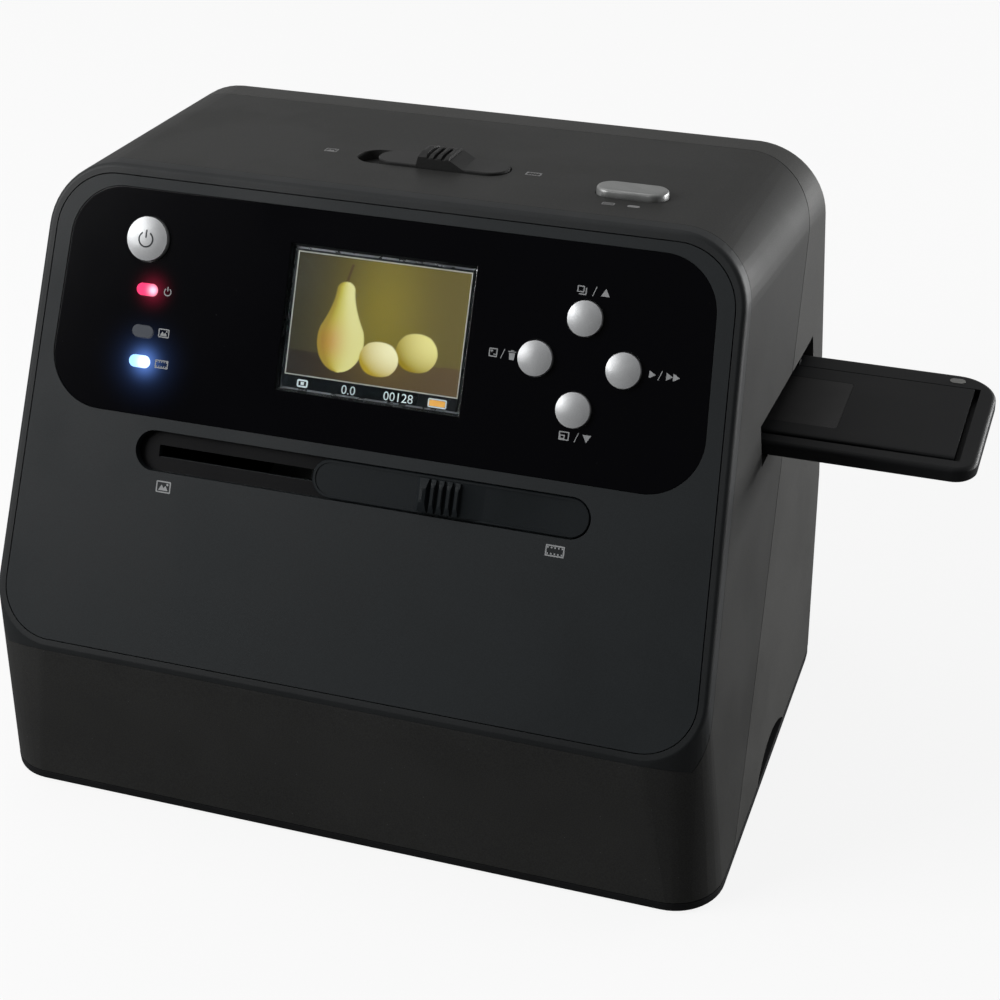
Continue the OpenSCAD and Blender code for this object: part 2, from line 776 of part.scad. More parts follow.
module main_board() {
  color(board_col) translate([-78, rear_y - 9, foot_h + 30]) cube([156, 1.6, 88]);
}

// A socket on the board whose mouth is just inside the back
module socket(s) {
  translate([s[0], rear_y - 0.4, foot_h + s[1]]) rotate([90, 0, 0]) difference() {
    linear_extrude(7) square([s[2], s[3]], center = true);
    translate([0, 0, -1]) linear_extrude(6) square([s[2] - 1.4, s[3] - 1.4], center = true);
  }
}

module sd_socket() { color(dark_col) socket(sockets[0]); }

module usb_socket() { color(steel_col) socket(sockets[1]); }

module tv_socket() {
  color(dark_col) translate([sockets[2][0], rear_y - 0.4, foot_h + sockets[2][1]]) rotate([90, 0, 0])
    difference() {
      linear_extrude(7) square([sockets[2][2], sockets[2][3]], center = true);
      translate([0, 0, -1]) cylinder(r = 1.75, h = 6.5);
    }
}

module battery_pack() {
  color([0.25, 0.3, 0.35]) translate([-25, nose_y + 15, foot_h + floor_t + 1.2]) slab(62, 15, 33);
}

module battery_bracket() {
  color(steel_col) translate([-25, nose_y + 15, foot_h + floor_t]) difference() {
    slab(65, 18, 12);
    translate([0, 0, 1.2]) slab(62.2, 15.2, 20);
  }
}

// The tunnel between the print window and the film gate, drawn in by t
module tunnel_form(t, e) {
  hull() {
    translate([0, print_y, foot_h + floor_t - e]) slab(print_w[0] + 3.2 - 2 * t, print_w[1] + 3.2 - 2 * t,
                                                       skirt + e);
    translate([0, gate_y, tunnel_top - 1 + e]) slab(70 - 2 * t, 52 - 2 * t, 1);
  }
}

module light_tunnel() {
  color([0.85, 0.85, 0.86]) difference() {
    tunnel_form(0, 0);
    tunnel_form(1.6, 1);
  }
}

module photo_lamp_boards() {
  color(board_col) for (m = [0, 1]) mirror([m, 0, 0]) translate([print_w[0] / 2, print_y, 0]) {
    translate([-1.6, -43, foot_h + floor_t + 1]) cube([1.6, 86, 8]);
    for (y = [-35:14:35]) translate([-2.5, y - 1.5, foot_h + floor_t + 3.5]) cube([1, 3, 3]);
  }
}

module photo_diffusers() {
  color(light_col) for (m = [0, 1]) mirror([m, 0, 0])
    translate([print_w[0] / 2, print_y, foot_h + floor_t]) difference() {
      translate([-5, -45, 0]) cube([5, 90, 10]);
      translate([-3.8, -43.8, -1]) cube([5, 87.6, 10]);
    }
}

main_housing();
rear_cover();
base_plate();
base_screws();
feet();
front_bezel();
front_plate();
display_panel();
lcd_window();
lcd_screen();
lcd_module();
keypad_board();
key_switches();
power_light();
photo_light();
film_light();
power_button();
up_button();
down_button();
left_button();
right_button();
front_slider();
backlight_carriage();
backlight_diffuser();
backlight_board();
carriage_rails();
gate_lower();
gate_upper();
gate_posts();
tray_detent();
film_tray_base();
film_tray_lid();
tray_hinge_pin();
tray_mark();
film_strip();
top_slider();
scan_button();
scan_switch();
scan_bracket();
lens_tower();
lens_guides();
lens_carriage();
lens_barrel();
lens_glass();
sensor_board();
main_board();
sd_socket();
usb_socket();
tv_socket();
battery_pack();
battery_bracket();
light_tunnel();
photo_lamp_boards();
photo_diffusers();
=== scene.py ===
"""Looks of a desktop film negative scanner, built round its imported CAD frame.

Drawings are in millimetres on a face of the housing, and are turned into metres where a mesh is made.
"""
import logging
import math
from dataclasses import dataclass, field
from enum import Enum
from typing import Any, Callable, Iterable, Optional, Sequence

import bmesh
import bpy
from mathutils import Matrix, Vector


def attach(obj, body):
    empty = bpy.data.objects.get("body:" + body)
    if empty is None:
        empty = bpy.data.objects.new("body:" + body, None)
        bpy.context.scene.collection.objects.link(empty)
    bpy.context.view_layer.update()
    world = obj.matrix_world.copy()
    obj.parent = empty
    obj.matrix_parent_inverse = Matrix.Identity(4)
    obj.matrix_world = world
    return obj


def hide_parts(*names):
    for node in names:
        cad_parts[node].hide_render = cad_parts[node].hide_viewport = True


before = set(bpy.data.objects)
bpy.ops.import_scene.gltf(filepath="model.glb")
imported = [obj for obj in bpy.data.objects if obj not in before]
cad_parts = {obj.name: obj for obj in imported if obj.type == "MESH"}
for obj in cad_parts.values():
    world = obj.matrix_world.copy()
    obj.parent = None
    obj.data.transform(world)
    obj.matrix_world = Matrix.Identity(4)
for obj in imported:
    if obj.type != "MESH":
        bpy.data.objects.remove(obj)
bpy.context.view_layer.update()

MM = 0.001  # metres in a millimetre
PER_METRE = 1000.0  # millimetres in a metre, for the scale of a pattern
SAME_PLACE = 1e-6  # points closer than this, in metres, are merged
BASE_WIDTH, BASE_DEPTH = 205.6, 143.2
LOG = logging.getLogger("film_scanner")

Point = tuple[float, float]
Colour = tuple[float, float, float]
Quad = tuple[float, float, float, float]


# ---------------------------------------------------------------- the faces that drawings lie on


@dataclass(frozen=True)
class Face:
    """A flat face of the housing: where a drawing's x, y and height lead in the part's frame."""

    origin: Vector
    across: Vector
    along: Vector
    out: Vector

    def at(self, x: float, y: float, height: float = 0.0) -> Vector:
        """Returns the point of the part's frame, in metres, for a drawn point in millimetres."""
        return (self.origin + self.across * x + self.along * y + self.out * height) * MM

    def lengthways(self, x: float, y: float) -> "Face":
        """Returns the upright face through a point that profiles along this face are drawn on."""
        return Face(self.at(x, y) / MM, self.across, self.out, -self.along)

    def endways(self, x: float, y: float) -> "Face":
        """Returns the upright face through a point that profiles across this face are drawn on."""
        return Face(self.at(x, y) / MM, self.along, self.out, self.across)


def tilted_face(origin: Vector, degrees: float) -> Face:
    """Makes a face that looks up and to the front.

    Args:
        origin: The face's origin, in millimetres.
        degrees: How far the face's up direction leans back from upright.

    Returns:
        The face, with x to the right and y up its slope.
    """
    a = math.radians(degrees)
    return Face(origin, Vector((1, 0, 0)), Vector((0, math.sin(a), math.cos(a))),
                Vector((0, -math.cos(a), math.sin(a))))


LEAN = 28.1
FRONT_FOOT = 47.3
FRONT_TAPER = 0.044
TOP_SLOPE = 6.84
TOP_EDGE = (-5.692, 162.270)
FRONT = tilted_face(Vector((0, -BASE_DEPTH / 2, FRONT_FOOT)), LEAN)
TOP = tilted_face(Vector((0, *TOP_EDGE)), 90 + TOP_SLOPE)
BACK = Face(Vector((0, BASE_DEPTH / 2, 0)), Vector((-1, 0, 0)), Vector((0, 0, 1)), Vector((0, 1, 0)))
SIDE = Face(Vector((0, 0, 0)), Vector((0, 1, 0)), Vector((0, 0, 1)), Vector((1, 0, 0)))
LEVEL = Face(Vector((0, 0, 0)), Vector((1, 0, 0)), Vector((0, 1, 0)), Vector((0, 0, 1)))


# ---------------------------------------------------------------- node trees


class Wiring:
    """Adds nodes to one node tree and joins their sockets."""

    def __init__(self, tree: bpy.types.NodeTree) -> None:
        """Keeps the tree that nodes are added to."""
        self.tree = tree

    def fill(self, node: bpy.types.Node, inputs: dict[Any, Any]) -> None:
        """Sets or joins a node's inputs.

        Args:
            node: The node.
            inputs: A value or an output socket for each input, by name or number.
        """
        for name, value in inputs.items():
            if isinstance(value, bpy.types.NodeSocket):
                self.tree.links.new(value, node.inputs[name])
            else:
                node.inputs[name].default_value = value

    def node(self, kind: str, inputs: Optional[dict[Any, Any]] = None, **settings: Any) -> bpy.types.Node:
        """Adds a node.

        Args:
            kind: The node's type name.
            inputs: A value or an output socket for each input, by name or number.
            **settings: Attributes of the node, set before its inputs.

        Returns:
            The new node.
        """
        made = self.tree.nodes.new(kind)
        for name, value in settings.items():
            setattr(made, name, value)
        self.fill(made, inputs or {})
        return made

    def maths(self, operation: str, *values: Any) -> bpy.types.NodeSocket:
        """Returns the output of a Math node of this operation on the values."""
        return self.node("ShaderNodeMath", dict(enumerate(values)), operation=operation).outputs[0]

    def mix(self, factor: Any, a: Any, b: Any) -> bpy.types.NodeSocket:
        """Returns the output of a colour mix from a to b."""
        return self.node("ShaderNodeMix", {0: factor, 6: a, 7: b}, data_type="RGBA").outputs[2]

    def ramp(self, factor: Any, low: float, high: float, a: float = 0.0,
             b: float = 1.0) -> bpy.types.NodeSocket:
        """Returns a smooth step of the factor, from a at low to b at high."""
        return self.node("ShaderNodeMapRange", {0: factor, 1: low, 2: high, 3: a, 4: b},
                         interpolation_type="SMOOTHSTEP").outputs[0]


def rgba(colour: Colour, tone: float = 1.0) -> Quad:
    """Returns the colour, darker or lighter by a factor, with full opacity."""
    return (*(c * tone for c in colour), 1.0)


def grey(value: float) -> Quad:
    """Returns an even grey with full opacity."""
    return (value, value, value, 1.0)


NewGroup = tuple[bpy.types.NodeTree, Wiring, bpy.types.Node, bpy.types.Node]


def new_group(name: str, inputs: dict[str, Any], outputs: dict[str, str],
              kind: str = "ShaderNodeTree") -> NewGroup:
    """Starts a node group.

    Args:
        name: The group's name.
        inputs: The socket type and default of each input, by its name.
        outputs: The socket type of each output, by its name.
        kind: The type of the tree.

    Returns:
        The group, its wiring, its input node and its output node.
    """
    group = bpy.data.node_groups.new(name, kind)
    for socket_name, (socket_type, default) in inputs.items():
        socket = group.interface.new_socket(socket_name, in_out="INPUT", socket_type=socket_type)
        if default is not None:
            socket.default_value = default
    for socket_name, socket_type in outputs.items():
        group.interface.new_socket(socket_name, in_out="OUTPUT", socket_type=socket_type)
    wiring = Wiring(group)
    return group, wiring, wiring.node("NodeGroupInput"), wiring.node("NodeGroupOutput")


FLOAT, VECTOR = "NodeSocketFloat", "NodeSocketVector"
GEOMETRY, MATERIAL, INT = "NodeSocketGeometry", "NodeSocketMaterial", "NodeSocketInt"


class Effects:
    """Shader effects that several finishes share, each a node group that is built once."""

    def __init__(self) -> None:
        """Starts with no group built."""
        self.built: dict[str, bpy.types.NodeTree] = {}

    def place(self, wiring: Wiring, name: str, **values: Any) -> bpy.types.Node:
        """Puts the named effect in a material.

        Args:
            wiring: The material's wiring.
            name: The name of the method that builds the effect.
            **values: The group's inputs, by name, with underscores for spaces.

        Returns:
            The group node.
        """
        if name not in self.built:
            self.built[name] = getattr(self, name)()
        inputs = {key.replace("_", " ").capitalize(): value for key, value in values.items()}
        return wiring.node("ShaderNodeGroup", inputs, node_tree=self.built[name])

    def grain(self) -> bpy.types.NodeTree:
        """Builds the fine spark-eroded grain of moulded plastic, with a slow mottle under it.

        Returns:
            The node group.
        """
        group, w, given, result = new_group(
            "moulded_grain", {"Vector": (VECTOR, None), "Size": (FLOAT, 0.4), "Mottle size": (FLOAT, 30.0)},
            {"Height": FLOAT, "Speck": FLOAT, "Mottle": FLOAT})
        scale = w.maths("DIVIDE", PER_METRE, given.outputs["Size"])
        fine = w.node("ShaderNodeTexNoise", {"Vector": given.outputs["Vector"], "Scale": scale, "Detail": 2.0,
                                             "Roughness": 0.6})
        pits = w.node("ShaderNodeTexVoronoi", {"Vector": given.outputs["Vector"], "Scale": scale})
        slow = w.node("ShaderNodeTexNoise", {
            "Vector": given.outputs["Vector"], "Detail": 3.0,
            "Scale": w.maths("DIVIDE", PER_METRE, given.outputs["Mottle size"])})
        height = w.maths("ADD", w.maths("MULTIPLY", fine.outputs[0], 0.6),
                         w.maths("MULTIPLY", pits.outputs["Distance"], 0.6))
        w.fill(result, {"Height": height, "Speck": w.ramp(fine.outputs[0], 0.3, 0.7),
                        "Mottle": w.ramp(slow.outputs[0], 0.3, 0.7)})
        return group

    def dust(self) -> bpy.types.NodeTree:
        """Builds sparse pale specks, as fine dust that lies on a surface.

        Returns:
            The node group.
        """
        group, w, given, result = new_group(
            "fine_dust", {"Vector": (VECTOR, None), "Size": (FLOAT, 1.2), "Share": (FLOAT, 0.06)},
            {"Mask": FLOAT})
        cells = w.node("ShaderNodeTexVoronoi", {
            "Vector": given.outputs["Vector"], "Scale": w.maths("DIVIDE", PER_METRE, given.outputs["Size"])})
        near = w.ramp(cells.outputs["Distance"], 0.02, 0.12, 1.0, 0.0)
        split = w.node("ShaderNodeSeparateColor", {0: cells.outputs["Color"]})
        chosen = w.maths("LESS_THAN", split.outputs[0], given.outputs["Share"])
        w.fill(result, {"Mask": w.maths("MULTIPLY", near, chosen)})
        return group

    def halo(self) -> bpy.types.NodeTree:
        """Builds the soft spill of a lamp on the surface round it, by distance from the lamp.

        Returns:
            The node group.
        """
        group, w, given, result = new_group(
            "lamp_halo", {"Vector": (VECTOR, None), "Place": (VECTOR, None), "Reach": (FLOAT, 0.004)},
            {"Fac": FLOAT})
        away = w.node("ShaderNodeVectorMath", {0: given.outputs["Vector"], 1: given.outputs["Place"]},
                      operation="DISTANCE").outputs["Value"]
        near = w.maths("DIVIDE", away, given.outputs["Reach"])
        fall = w.maths("EXPONENT", w.maths("MULTIPLY", w.maths("MULTIPLY", near, near), -1.0))
        w.fill(result, {"Fac": fall})
        return group


EFFECTS = Effects()
DUST: Colour = (0.35, 0.35, 0.36)
GLOSS_DUST: Colour = (0.3, 0.3, 0.32)


# ---------------------------------------------------------------- finishes


@dataclass(frozen=True)
class Finish:
    """A surface finish. Each kind of finish wires its own Principled shader."""

    name: str

    def wire(self, w: Wiring, shader: bpy.types.Node, place: bpy.types.NodeSocket) -> None:
        """Wires the finish into the shader, with the object's own coordinates as its place."""
        raise NotImplementedError

    def material(self) -> bpy.types.Material:
        """Returns the finish's material, which is made once.

        Returns:
            The material.
        """
        found = bpy.data.materials.get(self.name)
        if found is not None:
            return found
        made = bpy.data.materials.new(self.name)
        made.use_nodes = True
        w = Wiring(made.node_tree)
        shader = made.node_tree.nodes["Principled BSDF"]
        place = w.node("ShaderNodeTexCoord").outputs["Object"]
        self.wire(w, shader, place)
        return made


def settle(w: Wiring, shader: bpy.types.Node, **values: Any) -> None:
    """Sets or joins inputs of the Principled shader, by name with underscores for spaces."""
    w.fill(shader, {key.replace("_", " "): value for key, value in values.items()})


def bumped(w: Wiring, height: bpy.types.NodeSocket, depth: float) -> bpy.types.NodeSocket:
    """Returns the normal of a surface that is raised by up to the depth, in millimetres."""
    return w.node("ShaderNodeBump", {"Height": height, "Strength": 1.0, "Distance": depth * MM}).outputs[0]


@dataclass(frozen=True)
class Moulded(Finish):
    """Matt moulded plastic with a spark-eroded grain."""

    colour: Colour
    roughness: float = 0.55
    grain: float = 0.35
    depth: float = 0.012
    contrast: float = 0.25
    specular: float = 0.2
    dust: float = 0.0

    def wire(self, w: Wiring, shader: bpy.types.Node, place: bpy.types.NodeSocket) -> None:
        """Wires grain, mottle and a little dust into colour, roughness and bump."""
        grain = EFFECTS.place(w, "grain", Vector=place, Size=self.grain)
        tone = w.maths("ADD", w.maths("MULTIPLY", grain.outputs["Speck"], 0.7),
                       w.maths("MULTIPLY", grain.outputs["Mottle"], 0.3))
        colour = w.mix(tone, rgba(self.colour, 1 - self.contrast), rgba(self.colour, 1 + self.contrast))
        if self.dust > 0:
            dust = EFFECTS.place(w, "dust", Vector=place, Share=self.dust)
            colour = w.mix(w.maths("MULTIPLY", dust.outputs[0], 0.35), colour, rgba(DUST))
        rough = w.ramp(grain.outputs["Mottle"], 0.0, 1.0, self.roughness - 0.04, self.roughness + 0.04)
        settle(w, shader, Base_Color=colour, Roughness=rough,
               Normal=bumped(w, grain.outputs["Height"], self.depth), Specular_IOR_Level=self.specular)


@dataclass(frozen=True)
class Gloss(Finish):
    """Polished plastic or glass-smooth trim, with faint handling marks in its roughness."""

    colour: Colour
    roughness: float = 0.06
    specular: float = 0.35
    halos: tuple[tuple[Vector, float, Colour, float], ...] = ()

    def wire(self, w: Wiring, shader: bpy.types.Node, place: bpy.types.NodeSocket) -> None:
        """Wires handling marks into the roughness, and the spill of any lamp into the emission."""
        grain = EFFECTS.place(w, "grain", Vector=place, Size=6.0, Mottle_size=45.0)
        dust = EFFECTS.place(w, "dust", Vector=place, Size=1.6, Share=0.03)
        colour = w.mix(w.maths("MULTIPLY", dust.outputs[0], 0.12), rgba(self.colour), rgba(GLOSS_DUST))
        rough = w.ramp(grain.outputs["Mottle"], 0.0, 1.0, self.roughness, self.roughness * 2.2)
        settle(w, shader, Base_Color=colour, Roughness=rough, Specular_IOR_Level=self.specular)
        total: Any = None
        for lamp, reach, light, strength in self.halos:
            halo = EFFECTS.place(w, "halo", Vector=place, Place=tuple(lamp), Reach=reach * MM)
            glow = tuple(c * strength for c in light)
            spill = w.node("ShaderNodeVectorMath", {0: glow, "Scale": halo.outputs["Fac"]},
                           operation="SCALE").outputs[0]
            if total is not None:
                spill = w.node("ShaderNodeVectorMath", {0: total, 1: spill}).outputs[0]
            total = spill
        if total is not None:
            settle(w, shader, Emission_Color=total, Emission_Strength=1.0)


@dataclass(frozen=True)
class Metal(Finish):
    """Satin plated plastic or bare metal."""

    colour: Colour
    roughness: float = 0.35
    metallic: float = 1.0
    grain: float = 0.25
    depth: float = 0.003

    def wire(self, w: Wiring, shader: bpy.types.Node, place: bpy.types.NodeSocket) -> None:
        """Wires a fine sparkle into colour, roughness and bump."""
        grain = EFFECTS.place(w, "grain", Vector=place, Size=self.grain, Mottle_size=4.0)
        colour = w.mix(grain.outputs["Speck"], rgba(self.colour, 0.9), rgba(self.colour))
        rough = w.ramp(grain.outputs["Mottle"], 0.0, 1.0, self.roughness - 0.05, self.roughness + 0.05)
        settle(w, shader, Base_Color=colour, Roughness=rough, Metallic=self.metallic,
               Normal=bumped(w, grain.outputs["Height"], self.depth))


@dataclass(frozen=True)
class Ink(Finish):
    """Screen-printed ink, a little uneven."""

    colour: Colour
    glow: float = 0.0

    def wire(self, w: Wiring, shader: bpy.types.Node, place: bpy.types.NodeSocket) -> None:
        """Wires a slight unevenness into the colour."""
        grain = EFFECTS.place(w, "grain", Vector=place, Size=0.3, Mottle_size=3.0)
        colour = w.mix(grain.outputs["Mottle"], rgba(self.colour, 0.82), rgba(self.colour))
        settle(w, shader, Base_Color=colour, Roughness=0.6)
        if self.glow > 0:
            settle(w, shader, Emission_Color=colour, Emission_Strength=self.glow)


@dataclass(frozen=True)
class Lamp(Finish):
    """A light pipe: its colour, and a hotter spot where its diode sits behind it."""

    colour: Colour
    hot: Colour
    spot: Vector
    reach: float
    strength: float

    def wire(self, w: Wiring, shader: bpy.types.Node, place: bpy.types.NodeSocket) -> None:
        """Wires the spot into base and emission colour."""
        halo = EFFECTS.place(w, "halo", Vector=place, Place=tuple(self.spot), Reach=self.reach * MM)
        colour = w.mix(halo.outputs["Fac"], rgba(self.colour), rgba(self.hot))
        settle(w, shader, Base_Color=colour, Roughness=0.25)
        if self.strength > 0:
            settle(w, shader, Emission_Color=colour, Emission_Strength=self.strength)


@dataclass(frozen=True)
class Clear(Finish):
    """Clear glass or acrylic."""

    colour: Colour
    roughness: float = 0.02
    bend: float = 1.46

    def wire(self, w: Wiring, shader: bpy.types.Node, place: bpy.types.NodeSocket) -> None:
        """Wires faint smears into the roughness of clear glass."""
        grain = EFFECTS.place(w, "grain", Vector=place, Size=5.0, Mottle_size=20.0)
        rough = w.ramp(grain.outputs["Mottle"], 0.0, 1.0, self.roughness, self.roughness * 2)
        settle(w, shader, Base_Color=rgba(self.colour), Roughness=rough, Transmission_Weight=1.0,
               IOR=self.bend)


@dataclass(frozen=True)
class Painted(Finish):
    """A picture that the mesh carries in its colour attribute, lit from behind."""

    glow: float = 1.0
    cell: float = 0.35

    def wire(self, w: Wiring, shader: bpy.types.Node, place: bpy.types.NodeSocket) -> None:
        """Wires the attribute into the emission, with the faint grid of the screen's cells."""
        paint = w.node("ShaderNodeAttribute", attribute_name="paint").outputs["Color"]
        cells = w.node("ShaderNodeTexChecker", {"Vector": place, "Scale": PER_METRE / self.cell})
        shade = w.mix(cells.outputs["Fac"], grey(0.97), grey(1.0))
        colour = w.node("ShaderNodeMix", {0: 1.0, 6: paint, 7: shade}, data_type="RGBA",
                        blend_type="MULTIPLY").outputs[2]
        settle(w, shader, Base_Color=grey(0.01), Roughness=0.3, Emission_Color=colour,
               Emission_Strength=self.glow)


@dataclass(frozen=True)
class Board(Finish):
    """A circuit board: lacquered green with a fine pattern of tracks."""

    colour: Colour = (0.02, 0.09, 0.05)
    track: float = 8.0

    def wire(self, w: Wiring, shader: bpy.types.Node, place: bpy.types.NodeSocket) -> None:
        """Wires a blocky pattern of tracks into the colour."""
        tracks = w.node("ShaderNodeTexBrick", {
            "Vector": place, "Scale": PER_METRE / self.track, "Mortar Size": 0.02})
        colour = w.mix(tracks.outputs["Fac"], rgba(self.colour), rgba(self.colour, 1.7))
        settle(w, shader, Base_Color=colour, Roughness=0.3)


LIGHT_U = -63.5
POWER_LIGHT_V, FILM_LIGHT_V = 99.4, 80.6
RED_SPOT = FRONT.at(LIGHT_U + 1.7, POWER_LIGHT_V, -0.1)
BLUE_SPOT = FRONT.at(LIGHT_U + 1.5, FILM_LIGHT_V, -0.1)
RED: Colour = (0.95, 0.03, 0.12)
BLUE: Colour = (0.16, 0.34, 1.0)

BODY = Moulded("housing_plastic", (0.034, 0.0342, 0.0332), roughness=0.56, dust=0.05)
COVER = Moulded("rear_cover_plastic", (0.056, 0.056, 0.054), roughness=0.56, dust=0.04)
RIM = Moulded("bezel_plastic", (0.0105, 0.0125, 0.0137), roughness=0.56, specular=0.4)
BASE = Moulded("base_plastic", (0.012, 0.0125, 0.0135), roughness=0.6)
PLATE = Moulded("front_plate_plastic", (0.0092, 0.0125, 0.0146), roughness=0.58, specular=0.4)
KNOB = Moulded("slider_plastic", (0.0098, 0.0128, 0.0148), roughness=0.5, grain=0.25)
TOP_KNOB = Moulded("top_slider_plastic", (0.024, 0.0242, 0.024), roughness=0.5, grain=0.25)
TRAY_BLACK = Moulded("tray_plastic", (0.011, 0.0115, 0.0125), roughness=0.45, grain=0.25, depth=0.006)
TRAY_SPOT = Ink("tray_spot_print", (0.3, 0.3, 0.29))
INNER = Moulded("inner_plastic", (0.01, 0.01, 0.011), roughness=0.6)
# painted shade: a very dark sheet in the front slot, darker than any plastic, that stands for the shade in
# the slot's depth
SLOT_DARK = Moulded("slot_lining", (0.0042, 0.0042, 0.005), roughness=0.6, specular=0.15)
RUBBER = Moulded("foot_rubber", (0.008, 0.008, 0.008), roughness=0.85, grain=0.6)
PANEL = Gloss("panel_gloss", (0.0022, 0.0022, 0.0032), roughness=0.05, specular=0.3, halos=(
    (BLUE_SPOT, 6.5, BLUE, 0.075), (BLUE_SPOT, 3.2, BLUE, 0.6), (RED_SPOT, 3.2, RED, 0.16)))
SILVER = Metal("satin_silver", (0.6, 0.61, 0.62), roughness=0.36, metallic=0.25)
SCAN_SILVER = Metal("scan_silver", (0.33, 0.335, 0.33), roughness=0.4, metallic=0.6)
STEEL = Metal("bright_steel", (0.58, 0.58, 0.6), roughness=0.3)
LABEL = Ink("pale_print", (0.42, 0.43, 0.44))
TOP_LABEL = Ink("top_print", (0.26, 0.26, 0.26))
SYMBOL = Ink("dark_print", (0.03, 0.035, 0.04))
POWER_LAMP = Lamp("red_lamp", (0.8, 0.02, 0.12), (1.0, 0.55, 0.7), RED_SPOT, 1.3, 0.95)
PHOTO_LAMP = Lamp("unlit_lamp", (0.07, 0.08, 0.1), (0.1, 0.11, 0.13), RED_SPOT, 1.0, 0.0)
FILM_LAMP = Lamp("blue_lamp", (0.25, 0.5, 1.0), (0.9, 1.0, 1.0), BLUE_SPOT, 1.8, 1.4)
WINDOW = Clear("screen_window", (0.93, 0.96, 0.97), bend=1.18)
LENS = Clear("lens_glass", (0.8, 0.85, 0.95))
SCREEN_BACK = Gloss("screen_border", (0.008, 0.013, 0.017), roughness=0.2, specular=0.5)
PICTURE = Painted("screen_picture", glow=1.0)
SCREEN_LINE = Ink("screen_line", (0.5, 0.5, 0.45), glow=0.35)
SCREEN_ORANGE = Ink("screen_orange", (0.85, 0.42, 0.08), glow=0.6)
SCREEN_WHITE = Ink("screen_white", (0.62, 0.68, 0.68), glow=0.5)
FILM = Gloss("film_base", (0.011, 0.0105, 0.011), roughness=0.22, specular=0.35)
GREEN_BOARD = Board("circuit_board")
DIFFUSER = Moulded("lamp_diffuser", (0.75, 0.77, 0.75), roughness=0.4, contrast=0.04)
BATTERY = Moulded("battery_wrap", (0.05, 0.07, 0.12), roughness=0.35, contrast=0.08)
TUNNEL = Moulded("tunnel_plastic", (0.35, 0.36, 0.35), roughness=0.6, contrast=0.05)

NODE_FINISHES: dict[str, Finish] = {
    "main_housing": BODY, "rear_cover": COVER, "base_plate": INNER, "base_screws": STEEL, "feet": RUBBER,
    "front_bezel": PLATE, "front_plate": PLATE, "display_panel": PANEL, "lcd_window": WINDOW,
    "lcd_screen": SCREEN_BACK, "lcd_module": STEEL, "keypad_board": GREEN_BOARD, "key_switches": INNER,
    "power_light": POWER_LAMP, "photo_light": PHOTO_LAMP, "film_light": FILM_LAMP,
    "power_button": SILVER, "up_button": SILVER, "down_button": SILVER, "left_button": SILVER,
    "right_button": SILVER, "front_slider": KNOB, "backlight_carriage": INNER,
    "backlight_diffuser": DIFFUSER, "backlight_board": GREEN_BOARD, "carriage_rails": STEEL,
    "gate_lower": INNER, "gate_upper": INNER, "gate_posts": INNER, "tray_detent": STEEL,
    "film_tray_base": TRAY_BLACK, "film_tray_lid": TRAY_BLACK, "tray_hinge_pin": STEEL,
    "tray_mark": LABEL, "film_strip": FILM, "top_slider": KNOB, "scan_button": SILVER,
    "scan_switch": INNER, "scan_bracket": STEEL, "lens_tower": INNER, "lens_guides": STEEL,
    "lens_carriage": INNER, "lens_barrel": INNER, "lens_glass": LENS, "sensor_board": GREEN_BOARD,
    "main_board": GREEN_BOARD, "sd_socket": INNER, "usb_socket": STEEL, "tv_socket": INNER,
    "battery_pack": BATTERY, "battery_bracket": STEEL, "light_tunnel": TUNNEL,
    "photo_lamp_boards": GREEN_BOARD, "photo_diffusers": DIFFUSER,
}
SOFT_EDGES: dict[str, float] = {"front_plate": 0.25, "display_panel": 0.15}


# ---------------------------------------------------------------- making pieces


def soft_shade_tree() -> bpy.types.NodeTree:
    """Builds the tree that shades a mesh smooth and keeps its edges over a given angle sharp.

    Returns:
        The node group.
    """
    group, w, given, result = new_group("soft_shade", {"Geometry": (GEOMETRY, None), "Angle": (FLOAT, 0.5)},
                                        {"Geometry": GEOMETRY}, "GeometryNodeTree")
    smooth = w.node("GeometryNodeSetShadeSmooth", {"Geometry": given.outputs["Geometry"]}, domain="FACE")
    angle = w.node("GeometryNodeInputMeshEdgeAngle").outputs[0]
    over = w.node("FunctionNodeCompare", {0: angle, 1: given.outputs["Angle"]}, operation="GREATER_THAN")
    sharp = w.node("GeometryNodeSetShadeSmooth", {
        "Geometry": smooth.outputs[0], "Selection": over.outputs[0], "Shade Smooth": False}, domain="EDGE")
    w.fill(result, {"Geometry": sharp.outputs[0]})
    return group


def repeat_tree() -> bpy.types.NodeTree:
    """Builds the tree that repeats a form in a row, repeats that row, and gives it all a material.

    Returns:
        The node group.
    """
    group, w, given, result = new_group("repeat_grid", {
        "Geometry": (GEOMETRY, None), "Count": (INT, 1), "Step": (VECTOR, None), "Rows": (INT, 1),
        "Row step": (VECTOR, None), "Material": (MATERIAL, None)}, {"Geometry": GEOMETRY}, "GeometryNodeTree")
    form = given.outputs["Geometry"]
    for count, step in (("Count", "Step"), ("Rows", "Row step")):
        line = w.node("GeometryNodeMeshLine", {"Count": given.outputs[count], "Offset": given.outputs[step]},
                      mode="OFFSET")
        spread = w.node("GeometryNodeInstanceOnPoints", {"Points": line.outputs[0], "Instance": form})
        form = w.node("GeometryNodeRealizeInstances", {"Geometry": spread.outputs[0]}).outputs[0]
    skin = w.node("GeometryNodeSetMaterial", {"Geometry": form, "Material": given.outputs["Material"]})
    w.fill(result, {"Geometry": skin.outputs[0]})
    return group


def set_inputs(modifier: bpy.types.Modifier, **values: Any) -> None:
    """Sets a Geometry Nodes modifier's inputs by their sockets' identifiers.

    Args:
        modifier: The modifier, with its node group set.
        **values: The values, by the input's name with underscores for spaces.
    """
    for item in modifier.node_group.interface.items_tree:
        key = item.name.replace(" ", "_").lower()
        if item.item_type == "SOCKET" and item.in_out == "INPUT" and key in values:
            modifier[item.identifier] = values[key]


